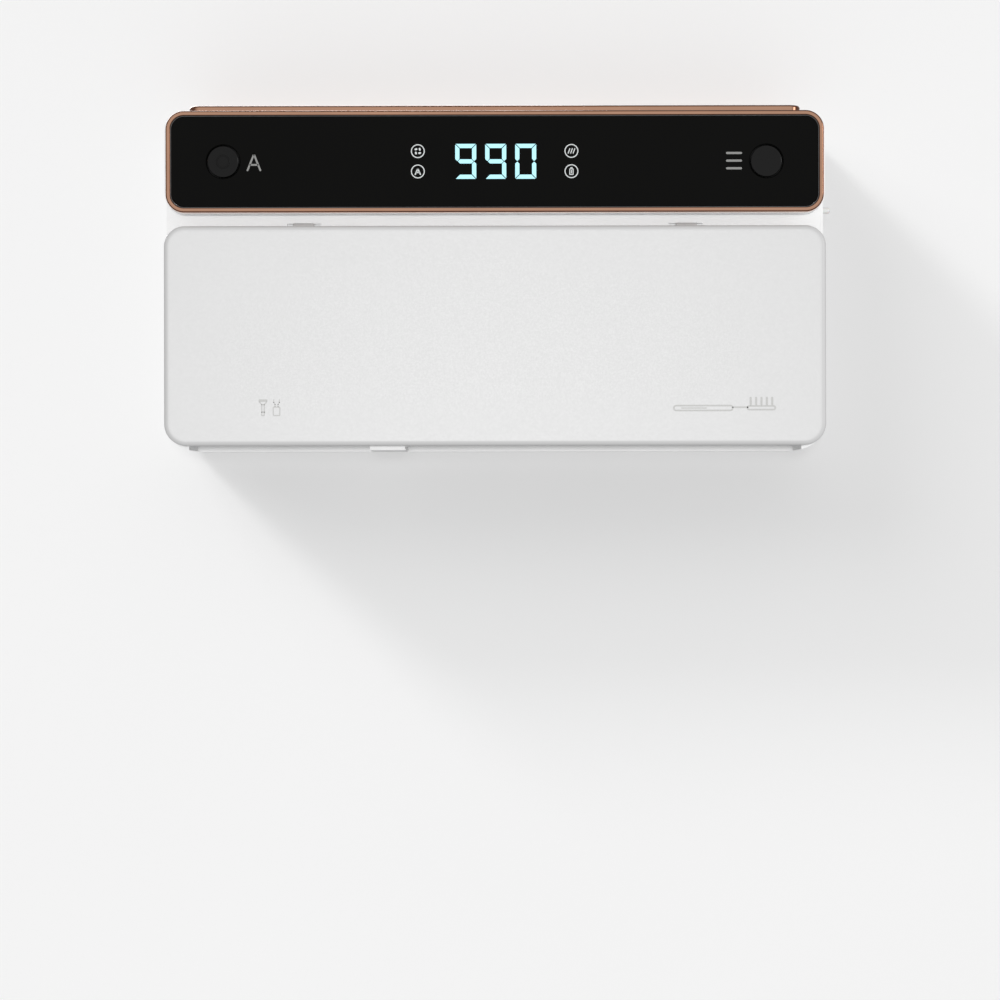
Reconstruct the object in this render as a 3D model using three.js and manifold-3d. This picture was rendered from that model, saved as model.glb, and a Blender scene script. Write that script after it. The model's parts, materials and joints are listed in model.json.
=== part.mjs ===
// Wall-mounted toothbrush and razor sanitizer: a control panel over a flip cover, on a bracket.
// Millimetres. +Z is up, the front faces -Y, the wall is the plane y = 0.
// The origin is the centre of the adhesive pad, where the bracket meets the wall.

import * as THREE from 'three';
import { mergeVertices } from 'three/addons/utils/BufferGeometryUtils.js';
import Module from 'manifold-3d';

const wasm = await Module();
wasm.setup();

// ---------------------------------------------------------------- driving dimensions

// Whole object
const bodyWidth = 225.4;
const bodyDepth = 46;
const topZ = 28;
const panelHeight = 34.6;
const stripHeight = 4.5;
const coverHeight = 74.8;
const housingDrop = 1.5;
const wall = 2.2;
const gap = 0.3;
const stripRecess = 9.4;
const housingSideInset = 0.1;

// How far joined solids run into each other, and how far cuts run past a face
const fuse = 0.5;
const clearCut = 1;
const throughCut = 30;

// Facets
const roundSteps = 3;
const smallSides = 16;
const plainSides = 24;
const fineSides = 32;

// Housing corners and edges
const panelCorner = 6.6;
const housingBottomCorner = 9.2;
const housingRearRound = 3;
const housingBackGap = 1.5;

// Bracket and pad
const padWidth = 150;
const padHeight = 40;
const padThickness = 0.8;
const bracketThickness = 2;
const bracketCorner = 4;
const bracketHoleX = 30;
const bracketHoleR = 2.3;
const hookX = 50;
const hookWidth = 18;
const hookStem = 2.5;
const hookTongue = 1.8;
const hookStemTopZ = -1.5;
const hookReach = 6;
const liftTravel = 10;
const dishRoomX = 1;
const dishRoomZ = 0.5;

// Control panel
const bezelInset = 0.7;
const bezelLip = 1.6;
const bezelHeight = 2.6;
const bezelCorner = 6.3;
const bezelRound = 0.7;
const glassThickness = 2;
const glassSink = 0.6;
const frameLedge = 4.8;
const frameLedgeEnd = 5.8;
const frameWindowCorner = 3;
const frameLedgeThickness = 2;
const boardSide = 7.9;
const boardEdge = 5.3;
const boardThickness = 1.6;
const chipHeight = 1;
const chipPlaces = [[0, 9], [-22, 6], [-80, 5]];
const displayWidth = 46;
const displayDepth = 5.6;
const displayMargin = 2.5;
const iconX = 26.1;
const iconSpacing = 6.9;
const iconGuideR = 2.7;

// Buttons
const buttonX = 92.4;
const buttonR = 5.3;
const buttonClearance = 0.4;
const buttonProud = 0.4;
const buttonFlange = 1.1;
const buttonFlangeThickness = 0.8;
const buttonStemR = 2.2;
const buttonStemLength = 1.7;
const buttonTravel = 0.6;
const switchSize = 6;
const switchHeight = 1.5;
const plungerR = 1.6;
const plungerRoom = 0.1;

// Flip cover and hinge
const coverDepth = 8.1;
const coverTopCorner = 7;
const coverBottomCorner = 7.5;
const coverEdgeRound = 1.6;
const hingeX = 65.4;
const pivotInset = 5.5;
const pivotDrop = 2.5;
const knuckleR = 3.8;
const knuckleWidth = 7.1;
const notchWidth = 11.6;
const notchRise = 1.5;
const notchDepth = 2;
const hingePinR = 1;
const lugR = 2.3;
const lugWidth = 1.6;
const railThickness = 3.4;
const railBelowCoverTop = 5.3;
const railAbovePanelEdge = 2;
const magnetR = 2.3;
const magnetThickness = 3;
const magnetInsetX = 6;
const magnetRise = 4;
const magnetBlockWall = 1.6;
const magnetBlockFloor = 3;
const magnetCupWall = 1.2;

// Bays
const bayMouthSide = 5.4;
const bayRearLip = 6;
const dividerX = -37;
const dividerWidth = 12.4;
const dividerWall = 1.6;
const rackRise = 13.4;
const rackThickness = 3.5;
const rackFrontInset = 2.6;
const rackFlange = 8;
const slotCount = 5;
const slotPitch = 28.4;
const slotCentreX = 37;
const slotWidth = 8;
const slotLength = 18;
const tineRound = 2.5;
const razorX = -75.3;
const razorSlotWidth = 15;
const ceilingThickness = 2;
const reflectorThickness = 0.6;
const reflectorSide = 3;
const ceilingDrop = 0.6;

// Drying fan, heater and UV-C boards
const fanX = 12;
const fanSize = 25;
const fanThickness = 7;
const fanBoreR = 11.3;
const fanTipClearance = 0.5;
const fanHubR = 5.2;
const fanBlades = 7;
const heaterThickness = 5;
const airHoleR = 10.8;
const grilleR = 12.2;
const grilleThickness = 1.6;
const grilleSlotPitch = 4;
const grilleSlotWidth = 2.4;
const grilleRim = 1;
const heaterInset = 1;
const heaterRim = 2;
const heaterChannelWidth = 3;
const channelPlaces = [-2, -1, 0, 1, 2];
const fanPlateThickness = 1.2;
const fanPlateInset = 0.4;
const fanStrutWidth = 1.4;
const fanStrutTurn = 0.4;
const bladeThickness = 0.9;
const bladePitch = 0.7;
const bladeRoot = 0.8;
const bladeInset = 0.6;
const uvBoardDepth = 9;
const uvBoardThickness = 1.2;
const uvLedSize = 3.5;
const uvLedHeight = 1;
const uvFromGrille = 4;
const uvFromWall = 8;
const uvFromDivider = 6;
const brushLeds = 4;
const razorLeds = 2;
const uvWindowDrop = 3.7;
const uvWindowWall = 1;

// Batteries, charging port and screws
const cellR = 9.2;
const cellLength = 65;
const cellCapR = 2.8;
const cellCapLength = 2;
const cellEndRoom = 2.5;
const cellBoardRoom = 1.6;
const cellTopRoom = 2.6;
const holderWall = 1.5;
const holderBelowAxis = 2;
const portRailRoom = 0.4;
const portRise = 2;
const portHoleWidth = 9.4;
const portHoleHeight = 3.8;
const portRecess = 0.9;
const portRecessMargin = 1.5;
const socketLength = 7;
const socketWall = 0.6;
const socketFloor = 1;
const plugTabR = 1.05;
const plugTabLength = 3.5;
const plugTabRoot = 0.2;
const screwFromSide = 4.4;
const screwFromTop = 7;
const screwFromPanelBottom = 9.1;
const screwHeadR = 2.6;
const screwHeadHeight = 1.3;
const screwShankR = 1.25;
const screwLength = 12;
const driveWidth = 0.8;
const driveLength = 3.2;
const driveDepth = 0.7;
const bossR = 3;

// Cover sensor
const sensorX = 92;
const sensorWidth = 6;
const sensorDepth = 2.5;
const sensorHeight = 6;

// Top trim and solar panel
const trimWidth = 210.6;
const trimDepth = 25;
const trimFromFront = 12;
const trimHeight = 3;
const trimCorner = 4;
const trimRound = 1;
const trimBorder = 5;
const trimPocket = 2.2;
const solarThickness = 1.6;

// ---------------------------------------------------------------- derived planes

const frontY = -bodyDepth;
const rimY = frontY + stripRecess;
const backY = -housingBackGap;
const housingWidth = bodyWidth - 2 * housingSideInset;
const innerHalfWidth = housingWidth / 2 - wall;
const panelBottomZ = topZ - panelHeight;
const panelZ = topZ - panelHeight / 2;
const coverTopZ = panelBottomZ - stripHeight;
const coverBottomZ = coverTopZ - coverHeight;
const housingBottomZ = coverBottomZ - housingDrop;
const pivotY = frontY + pivotInset;
const pivotZ = coverTopZ - pivotDrop;

const bracketY = -padThickness - gap;
const bracketFrontY = bracketY - bracketThickness;
const dishY = bracketFrontY - gap;
const dishFloorY = dishY - wall + gap;
const tongueY = dishFloorY - gap;
const tongueFrontY = tongueY - hookTongue;
const pocketY = tongueFrontY - gap;
const pocketWall = 1.6;
const pocketWindowReach = 0.1;
const pocketFrontY = pocketY - pocketWall;
const pocketHalfWidth = hookWidth / 2 + 1;
const pocketTopZ = hookStemTopZ + hookReach + gap;
const pocketBottomZ = hookStemTopZ - hookStem - liftTravel - gap;

const frameBackY = rimY - gap;
const frameFrontY = frontY + bezelHeight + gap;
const bezelBackY = frontY + bezelHeight;
const glassFrontY = frontY + glassSink;
const glassBackY = glassFrontY + glassThickness;
const boardFrontY = glassBackY + displayDepth + 2 * gap;
const boardBackY = boardFrontY + boardThickness;

const railBackY = rimY + railThickness;
const railBottomZ = coverTopZ - railBelowCoverTop;
const fanY = railBackY + gap + fanSize / 2;
const uvY = fanY;
const portY = railBackY + portRailRoom + portHoleWidth / 2 - gap;
const portZ = panelBottomZ + portRise;
const ceilingZ = panelBottomZ - ceilingDrop;
const ceilingBottomZ = ceilingZ - ceilingThickness;
const innerBackY = dishFloorY - gap;
const rackZ = housingBottomZ + rackRise;
const dividerLeftX = dividerX - dividerWidth / 2;
const dividerRightX = dividerX + dividerWidth / 2;
const bayMouthHalfWidth = innerHalfWidth - bayMouthSide;
const screwX = innerHalfWidth - screwFromSide;
const displayHeight = panelHeight - 2 * (frameLedge + displayMargin);
const boardHeight = panelHeight - 2 * boardEdge;
const boardWidth = 2 * (innerHalfWidth - boardSide);
const holderHalfLength = cellLength / 2 + cellEndRoom + holderWall;
const holderRadius = cellR + gap + holderWall;
const cellX = screwX - bossR - gap - holderHalfLength;
const cellY = boardBackY + chipHeight + cellBoardRoom + holderRadius;
const cellZ = topZ - wall - cellTopRoom - cellR;

// ---------------------------------------------------------------- materials

const finish = (color, roughness, metalness = 0) =>
  new THREE.MeshStandardMaterial({ color, roughness, metalness });

const whitePlastic = finish(0xe9e9ea, 0.42);
const roseGold = finish(0xbc9075, 0.25, 1);
const blackGlass = finish(0x141413, 0.08);
const buttonPlastic = finish(0x1e1e1e, 0.35);
const steel = finish(0xb8babd, 0.3, 1);
const mirrorSheet = finish(0xd5d8da, 0.12, 1);
const board = finish(0x1f5a3a, 0.6);
const clearPlastic = finish(0xdfe8ee, 0.1);
const darkPlastic = finish(0x2b2c2e, 0.5);
const silicone = finish(0xe4e4e3, 0.7);
const foam = finish(0xd9d9d6, 0.9);
const cellWrap = finish(0x2f6f9f, 0.4);
const nickel = finish(0xc9c7c0, 0.25, 1);
const solarCell = finish(0x10131f, 0.15);
const aluminium = finish(0xc3c6c9, 0.35, 1);

// ---------------------------------------------------------------- solids

/** Closed solid of a three.js geometry. */
function solid(geometry) {
  const bare = geometry.clone();
  bare.deleteAttribute('normal');
  bare.deleteAttribute('uv');
  const merged = mergeVertices(bare, 1e-4);
  return new wasm.Manifold(new wasm.Mesh({
    numProp: 3,
    vertProperties: new Float32Array(merged.attributes.position.array),
    triVerts: new Uint32Array(merged.index.array),
  }));
}

/** First solid with all the others joined to it. */
function join(first, ...others) {
  return others.reduce((whole, other) => whole.add(other), first);
}

/** First solid with all the others cut from it. */
function cut(first, ...others) {
  return others.reduce((whole, other) => whole.subtract(other), first);
}

/** Box between two corners. */
function box([x0, x1], [y0, y1], [z0, z1]) {
  const geometry = new THREE.BoxGeometry(Math.abs(x1 - x0), Math.abs(y1 - y0), Math.abs(z1 - z0));
  geometry.translate((x0 + x1) / 2, (y0 + y1) / 2, (z0 + z1) / 2);
  return solid(geometry);
}

/** Round bar along X, Y or Z, centred on a point. */
function bar(axis, radius, length, [x, y, z], sides = plainSides) {
  const geometry = new THREE.CylinderGeometry(radius, radius, length, sides);
  if (axis === 'x') geometry.rotateZ(Math.PI / 2);
  if (axis === 'z') geometry.rotateX(Math.PI / 2);
  geometry.translate(x, y, z);
  return solid(geometry);
}

/** Rectangle with round corners; the last two may have another radius. */
function outline([x0, x1], [z0, z1], topR, bottomR = topR) {
  const shape = new THREE.Shape();
  shape.absarc(x1 - topR, z1 - topR, topR, 0, Math.PI / 2);
  shape.absarc(x0 + topR, z1 - topR, topR, Math.PI / 2, Math.PI);
  shape.absarc(x0 + bottomR, z0 + bottomR, bottomR, Math.PI, 1.5 * Math.PI);
  shape.absarc(x1 - bottomR, z0 + bottomR, bottomR, 1.5 * Math.PI, 2 * Math.PI);
  shape.closePath();
  return shape;
}

/** Outline centred across the width. */
function wideOutline(width, zRange, topR, bottomR = topR) {
  return outline([-width / 2, width / 2], zRange, topR, bottomR);
}

/** Half of space behind (side 1) or in front of (side -1) a plane across Y. */
function halfSpace(y, side) {
  const far = 2 * bodyWidth;
  return box([-far, far], [y, y + side * far], [-far, far]);
}

/** Slab in the X-Z plane between two depths, with its front or its rear edge rounded. */
function slab(shape, back, front, round = 0, rearRound = false) {
  const geometry = new THREE.ExtrudeGeometry(shape, {
    depth: back - front - round,
    curveSegments: roundSteps,
    bevelEnabled: round > 0,
    bevelThickness: round,
    bevelSize: round,
    bevelOffset: -round,
    bevelSegments: roundSteps,
  });
  geometry.rotateX(Math.PI / 2);
  geometry.translate(0, rearRound ? back - round : back, 0);
  if (round === 0) return solid(geometry);
  return cut(solid(geometry), rearRound ? halfSpace(front, -1) : halfSpace(back, 1));
}

/** Mesh of a solid, placed at a point. */
function part(name, shape, material, position = [0, 0, 0]) {
  const { vertProperties, triVerts } = shape.getMesh();
  const geometry = new THREE.BufferGeometry();
  geometry.setAttribute('position', new THREE.BufferAttribute(new Float32Array(vertProperties), 3));
  geometry.setIndex(new THREE.BufferAttribute(new Uint32Array(triVerts), 1));
  geometry.computeVertexNormals();
  const mesh = new THREE.Mesh(geometry, material);
  mesh.name = name;
  mesh.position.set(...position);
  return mesh;
}

// ---------------------------------------------------------------- wall bracket

function adhesivePad() {
  const pad = slab(wideOutline(padWidth, [-padHeight / 2, padHeight / 2], bracketCorner), 0, -padThickness);
  return cut(pad, ...bracketHoles());
}

function bracketHoles() {
  return [-bracketHoleX, bracketHoleX].map((x) => bar('y', bracketHoleR, throughCut, [x, 0, 0]));
}

/** Plate with two hooks whose tongues stand up in front of it. */
function wallBracket() {
  const shape = wideOutline(padWidth, [-padHeight / 2, padHeight / 2], bracketCorner);
  const plate = cut(slab(shape, bracketY, bracketFrontY), ...bracketHoles());
  const hooks = [-hookX, hookX].flatMap((x) => {
    const across = [x - hookWidth / 2, x + hookWidth / 2];
    const stem = box(across, [bracketFrontY + fuse, tongueFrontY], [hookStemTopZ - hookStem, hookStemTopZ]);
    const tongue = box(across, [tongueY, tongueFrontY], [hookStemTopZ - hookStem, hookStemTopZ + hookReach]);
    return [stem, tongue];
  });
  return join(plate, ...hooks);
}

// ---------------------------------------------------------------- housing

/** Open tray with a bracket dish, hook pockets, a strip across the front and two hinge lug pairs. */
function rearHousing() {
  const outer = slab(
    wideOutline(housingWidth, [housingBottomZ, topZ], panelCorner, housingBottomCorner),
    backY, rimY, housingRearRound, true);
  const inner = slab(
    wideOutline(2 * innerHalfWidth, [housingBottomZ + wall, topZ - wall],
      panelCorner - wall, housingBottomCorner - wall),
    backY - wall, rimY - clearCut);
  const dishHalf = padWidth / 2 + dishRoomX;
  const dishZ = [-padHeight / 2 - liftTravel - dishRoomZ, padHeight / 2 + dishRoomZ];
  const dishBack = box([-dishHalf - wall, dishHalf + wall], [backY - wall + fuse, dishFloorY],
    [dishZ[0] - wall, dishZ[1] + wall]);
  const dish = box([-dishHalf, dishHalf], [clearCut, dishY], dishZ);
  const across = innerHalfWidth + fuse;
  const strip = box([-across, across], [railBackY, rimY], [railBottomZ, panelBottomZ + railAbovePanelEdge]);
  const mouth = box([-bayMouthHalfWidth, bayMouthHalfWidth], [backY - bayRearLip, rimY - clearCut],
    [housingBottomZ - clearCut, housingBottomZ + wall + clearCut]);
  const blocks = magnetBlocks().map((block) => block.intersect(outer));
  const whole = join(cut(outer, inner), dishBack, strip, ...hookPockets(), ...blocks);
  const opened = cut(whole, dish, mouth, ...hookWindows(), ...hingeNotches(), ...portCuts(),
    ...screwHoles(), ...housingMagnetSeats());
  return join(opened, ...hingeLugs());
}

/** Walls that close the hook windows off from the inside. */
function hookPockets() {
  return [-hookX, hookX].map((x) => {
    const half = pocketHalfWidth;
    const outer = box([x - half - pocketWall, x + half + pocketWall], [dishFloorY + fuse, pocketFrontY],
      [pocketBottomZ - pocketWall, pocketTopZ + pocketWall]);
    return cut(outer, box([x - half, x + half], [dishFloorY, pocketY], [pocketBottomZ, pocketTopZ]));
  });
}

/** Openings that the hooks enter by; the lip above each one rests on its hook. */
function hookWindows() {
  return [-hookX, hookX].map((x) => box([x - pocketHalfWidth, x + pocketHalfWidth],
    [dishY + clearCut, dishFloorY - pocketWindowReach], [pocketBottomZ, hookStemTopZ + gap]));
}

/** Corner blocks that hold the lower magnets. */
function magnetBlocks() {
  const z = coverBottomZ + magnetRise;
  const reach = magnetR + magnetBlockWall;
  return [-1, 1].map((side) => box(
    [side * (innerHalfWidth + fuse), side * (bodyWidth / 2 - magnetInsetX - reach)],
    [rimY + magnetThickness + magnetBlockFloor, rimY], [housingBottomZ + fuse, z + reach]));
}

function housingMagnetSeats() {
  const z = coverBottomZ + magnetRise;
  return [-1, 1].map((side) => bar('y', magnetR + gap, 2 * (magnetThickness + 2 * gap),
    [side * (bodyWidth / 2 - magnetInsetX), rimY, z]));
}

/** Recesses in the strip's lower edge, one behind each hinge knuckle. */
function hingeNotches() {
  return [-hingeX, hingeX].map((x) => box([x - notchWidth / 2, x + notchWidth / 2],
    [rimY + notchDepth, rimY - clearCut], [railBottomZ - clearCut, coverTopZ + notchRise]));
}

/** Four lugs that carry the hinge pins, two at each knuckle. */
function hingeLugs() {
  const offset = knuckleWidth / 2 + gap + lugWidth / 2;
  return [-hingeX, hingeX].flatMap((x) => [-offset, offset].map((dx) => {
    const eye = bar('x', lugR, lugWidth, [x + dx, pivotY, pivotZ]);
    const arm = box([x + dx - lugWidth / 2, x + dx + lugWidth / 2], [pivotY, rimY + notchDepth + fuse],
      [pivotZ - lugR, pivotZ + lugR]);
    return cut(join(eye, arm), bar('x', hingePinR + gap, 2 * lugWidth, [x + dx, pivotY, pivotZ]));
  }));
}

/** Hole for the charging plug through the right wall, with a shallow seat for its flange. */
function portCuts() {
  const x = housingWidth / 2;
  const [y, z] = [portY, portZ];
  const [halfY, halfZ] = [portHoleWidth / 2, portHoleHeight / 2];
  const hole = box([x - 2 * wall, x + clearCut], [y - halfY, y + halfY], [z - halfZ, z + halfZ]);
  const seat = box([x - portRecess, x + clearCut],
    [y - halfY - portRecessMargin, y + halfY + portRecessMargin],
    [z - halfZ - portRecessMargin, z + halfZ + portRecessMargin]);
  return [hole, seat];
}

/** Stepped screw holes through the back. */
function screwHoles() {
  return screwPlaces().flatMap(([x, z]) => [
    bar('y', screwShankR + gap, throughCut, [x, backY, z]),
    bar('y', screwHeadR + gap, 2 * (screwHeadHeight + gap), [x, backY, z]),
  ]);
}

function screwPlaces() {
  const heights = [panelBottomZ + screwFromPanelBottom, topZ - screwFromTop];
  return [-screwX, screwX].flatMap((x) => heights.map((z) => [x, z]));
}

/** Ceiling of the bays, with the warm-air hole and clearance round the hook pockets. */
function bayCeiling() {
  const half = innerHalfWidth - gap;
  const plate = box([-half, half], [innerBackY - gap, railBackY + gap], [ceilingBottomZ, ceilingZ]);
  const air = bar('z', airHoleR, throughCut, [fanX, fanY, ceilingZ]);
  return cut(plate, air, ...pocketClearances());
}

/** Room round the hook pockets, for the pieces that meet them. */
function pocketClearances() {
  const reach = pocketHalfWidth + pocketWall + gap;
  return [-hookX, hookX].map((x) => box([x - reach, x + reach], [0, pocketFrontY - gap],
    [pocketBottomZ - pocketWall - gap, pocketTopZ + pocketWall + gap]));
}

/** Hollow post between the razor bay and the brush bay, open at the back. */
function bayDivider() {
  const z = [housingBottomZ, ceilingBottomZ - gap];
  const post = box([dividerLeftX, dividerRightX], [backY - bayRearLip - gap, rimY + gap], z);
  const hollow = box([dividerLeftX + dividerWall, dividerRightX - dividerWall],
    [0, rimY + gap + dividerWall], [z[0] + dividerWall, z[1] - dividerWall]);
  const railClearance = box([dividerLeftX - clearCut, dividerRightX + clearCut],
    [railBackY + gap, rimY - clearCut],
    [railBottomZ - gap, ceilingZ]);
  return cut(post, hollow, railClearance, ...pocketClearances());
}

/** Front face of the reflector sheet. */
function reflectorFrontY() {
  return innerBackY - reflectorThickness;
}

/** Thin bright sheet on the rear wall of both bays. */
function reflectorPanel() {
  const half = innerHalfWidth - reflectorSide;
  return box([-half, half], [innerBackY, reflectorFrontY()],
    [housingBottomZ + 2 * wall, pocketBottomZ - pocketWall - gap]);
}

/** Slot with a round end, open to the front. */
function openSlot(x, width, back) {
  const z = [rackZ - rackThickness - clearCut, rackZ + clearCut];
  return join(
    box([x - width / 2, x + width / 2], [back, rimY - clearCut], z),
    bar('z', width / 2, z[1] - z[0], [x, back, rackZ - rackThickness / 2]));
}

/** Shelf with a rear flange and forked front, cut by slots. */
function forkedShelf([x0, x1], slots, width) {
  const front = rimY + rackFrontInset;
  const back = reflectorFrontY() - gap;
  const shelf = box([x0, x1], [back, front], [rackZ - rackThickness, rackZ]);
  const flange = box([x0, x1], [back, back - wall], [rackZ - rackThickness, rackZ + rackFlange]);
  const ends = slots.map((x) => openSlot(x, width, front + slotLength - width / 2));
  const leads = slots.map((x) => {
    const radius = width / 2 + tineRound;
    const flatten = tineRound / radius;
    const lead = bar('z', radius, rackThickness + 2 * clearCut, [x, front, rackZ - rackThickness / 2],
      smallSides);
    return lead.scale([1, flatten, 1]).translate([0, front * (1 - flatten), 0]);
  });
  return cut(join(shelf, flange), ...ends, ...leads);
}

function brushRack() {
  const slots = Array.from({ length: slotCount },
    (_, i) => slotCentreX + (i - (slotCount - 1) / 2) * slotPitch);
  return forkedShelf([dividerRightX + gap, innerHalfWidth - gap], slots, slotWidth);
}

function razorHolder() {
  return forkedShelf([-innerHalfWidth + gap, dividerLeftX - gap], [razorX], razorSlotWidth);
}

// ---------------------------------------------------------------- drying and UV-C

/** Round grille with straight slots, under the warm-air hole. */
function airGrille() {
  const z = ceilingBottomZ - gap - grilleThickness / 2;
  const disc = bar('z', grilleR, grilleThickness, [fanX, fanY, z], fineSides);
  const slots = channelPlaces.map((i) => {
    const x = fanX + grilleSlotPitch * i;
    const half = Math.sqrt(airHoleR ** 2 - (grilleSlotPitch * i) ** 2) - grilleRim;
    return box([x - grilleSlotWidth / 2, x + grilleSlotWidth / 2], [fanY - half, fanY + half],
      [z - grilleThickness, z + grilleThickness]);
  });
  return cut(disc, ...slots);
}

/** Finned heater block that the fan blows through. */
function heaterCore() {
  const bottom = ceilingZ + gap;
  const side = fanSize / 2 - heaterInset;
  const block = box([fanX - side, fanX + side], [fanY - side, fanY + side],
    [bottom, bottom + heaterThickness]);
  const channels = channelPlaces.map((i) => {
    const x = fanX + grilleSlotPitch * i;
    return box([x - heaterChannelWidth / 2, x + heaterChannelWidth / 2],
      [fanY - side + heaterRim, fanY + side - heaterRim],
      [bottom - clearCut, bottom + heaterThickness + clearCut]);
  });
  return cut(block, ...channels);
}

function fanBottomZ() {
  return ceilingZ + heaterThickness + 2 * gap;
}

/** Square fan frame with a round bore and a motor plate on three struts. */
function fanHousing() {
  const z = fanBottomZ();
  const half = fanSize / 2;
  const frame = cut(
    box([fanX - half, fanX + half], [fanY - half, fanY + half], [z, z + fanThickness]),
    bar('z', fanBoreR, 3 * fanThickness, [fanX, fanY, z], fineSides));
  const plateZ = z + fanThickness - fanPlateThickness / 2;
  const plate = bar('z', fanHubR - fanPlateInset, fanPlateThickness, [fanX, fanY, plateZ]);
  const strutLength = fanBoreR + fuse;
  const struts = [0, 1, 2].map((i) => {
    const strut = new THREE.BoxGeometry(strutLength, fanStrutWidth, fanPlateThickness);
    strut.translate(strutLength / 2, 0, 0);
    strut.rotateZ(i * 2 * Math.PI / 3 + fanStrutTurn);
    strut.translate(fanX, fanY, plateZ);
    return solid(strut);
  });
  return join(frame, plate, ...struts);
}

/** Hub and pitched blades about the Z axis, centred on its own origin. */
function fanRotor() {
  const height = fanThickness - fanPlateThickness - 2 * gap;
  const hub = bar('z', fanHubR, height, [0, 0, 0]);
  const reach = fanBoreR - fanTipClearance;
  const blades = Array.from({ length: fanBlades }, (_, i) => {
    const blade = new THREE.BoxGeometry(reach - fanHubR + bladeRoot, bladeThickness, height - bladeInset);
    blade.rotateX(bladePitch);
    blade.translate((reach + fanHubR - bladeRoot) / 2, 0, 0);
    blade.rotateZ(i * 2 * Math.PI / fanBlades);
    return solid(blade);
  });
  return cut(join(hub, ...blades), ringOutside(reach, 2 * height));
}

/** Everything outside a radius, to trim blade tips round. */
function ringOutside(radius, height) {
  const block = box([-fanSize, fanSize], [-fanSize, fanSize], [-height / 2, height / 2]);
  return cut(block, bar('z', radius, height + 2 * clearCut, [0, 0, 0], fineSides));
}

/** Board with a row of LED packages on its underside. */
function uvBoard([x0, x1], leds) {
  const top = ceilingBottomZ - gap;
  const z = [top - uvBoardThickness, top];
  const strip = box([x0, x1], [uvY - uvBoardDepth / 2, uvY + uvBoardDepth / 2], z);
  const pitch = (x1 - x0) / leds;
  const packages = Array.from({ length: leds }, (_, i) => {
    const x = x0 + pitch * (i + 0.5);
    return box([x - uvLedSize / 2, x + uvLedSize / 2], [uvY - uvLedSize / 2, uvY + uvLedSize / 2],
      [z[0] - uvLedHeight, z[0] + fuse]);
  });
  return join(strip, ...packages);
}

/** Clear channel that covers a board, open upwards. */
function uvWindow([x0, x1]) {
  const top = ceilingBottomZ - gap;
  const reachX = gap + uvWindowWall;
  const reachY = uvBoardDepth / 2 + gap;
  const outer = box([x0 - reachX, x1 + reachX], [uvY - reachY - uvWindowWall, uvY + reachY + uvWindowWall],
    [top - uvWindowDrop, top]);
  return cut(outer, box([x0 - gap, x1 + gap], [uvY - reachY, uvY + reachY],
    [top - uvWindowDrop + uvWindowWall, top + clearCut]));
}

const brushUvSpan = [fanX + grilleR + uvFromGrille, innerHalfWidth - uvFromWall];
const razorUvSpan = [-innerHalfWidth + uvFromWall, dividerLeftX - uvFromDivider];

// ---------------------------------------------------------------- control panel

/** White frame: a rim with a ledge for the glass and four screw posts. */
function panelFrame() {
  const zRange = [panelBottomZ, topZ];
  const outer = slab(wideOutline(housingWidth, zRange, panelCorner), frameBackY, frameFrontY);
  const well = slab(wideOutline(2 * innerHalfWidth, [zRange[0] + wall, zRange[1] - wall], panelCorner - wall),
    frameBackY + clearCut, frameFrontY + frameLedgeThickness);
  const window = slab(wideOutline(housingWidth - 2 * frameLedgeEnd, [zRange[0] + frameLedge,
    zRange[1] - frameLedge], frameWindowCorner), frameBackY + clearCut, frameFrontY - clearCut);
  const posts = screwPlaces().map(([x, z]) => {
    const back = backY - wall - gap;
    const front = frameFrontY + frameLedgeThickness / 2;
    return bar('y', bossR, back - front, [x, (back + front) / 2, z], smallSides);
  });
  const bores = screwPlaces().map(([x, z]) =>
    bar('y', screwShankR + gap, 2 * (screwLength + clearCut), [x, backY, z], smallSides));
  return cut(join(cut(outer, well, window), ...posts), ...bores);
}

function bezelOuter() {
  return wideOutline(bodyWidth - 2 * bezelInset, [panelBottomZ, topZ], bezelCorner);
}

function bezelInner(margin) {
  const inset = bezelLip + margin;
  return wideOutline(bodyWidth - 2 * bezelInset - 2 * inset, [panelBottomZ + inset, topZ - inset],
    bezelCorner - inset);
}

/** Rose-gold ring with a rounded front edge. */
function panelBezel() {
  return cut(slab(bezelOuter(), bezelBackY, frontY, bezelRound),
    slab(bezelInner(0), bezelBackY + clearCut, frontY - clearCut));
}

/** Glass plate with a hole for each button. */
function panelGlass() {
  const holes = [-buttonX, buttonX].map((x) =>
    bar('y', buttonR + buttonClearance, 4 * glassThickness, [x, glassFrontY, panelZ], fineSides));
  return cut(slab(bezelInner(gap), glassBackY, glassFrontY), ...holes);
}

/** Push button about its own press axis, its face towards -Y at y = 0. */
function pushButton() {
  const face = bar('y', buttonR, capLength(), [0, capLength() / 2, 0], fineSides);
  const flange = bar('y', buttonR + buttonFlange, buttonFlangeThickness,
    [0, capLength() + buttonFlangeThickness / 2, 0], fineSides);
  const stem = bar('y', buttonStemR, buttonStemLength + fuse,
    [0, capLength() + buttonFlangeThickness + (buttonStemLength - fuse) / 2, 0], smallSides);
  return join(face, flange, stem);
}

/** From the button's face to its flange, which bears on the back of the glass. */
function capLength() {
  return glassBackY + gap - buttonFaceY();
}

function buttonFaceY() {
  return glassFrontY - buttonProud;
}

/** Square switch with a round plunger, one press short of the button's stem. */
function tactSwitch(x) {
  const back = boardFrontY - gap;
  const flangeBackY = buttonFaceY() + capLength() + buttonFlangeThickness;
  const tip = flangeBackY + buttonStemLength + buttonTravel + plungerRoom;
  const half = switchSize / 2;
  const body = box([x - half, x + half], [back, back - switchHeight], [panelZ - half, panelZ + half]);
  return join(body, bar('y', plungerR, back - tip, [x, (back + tip) / 2, panelZ], smallSides));
}

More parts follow.
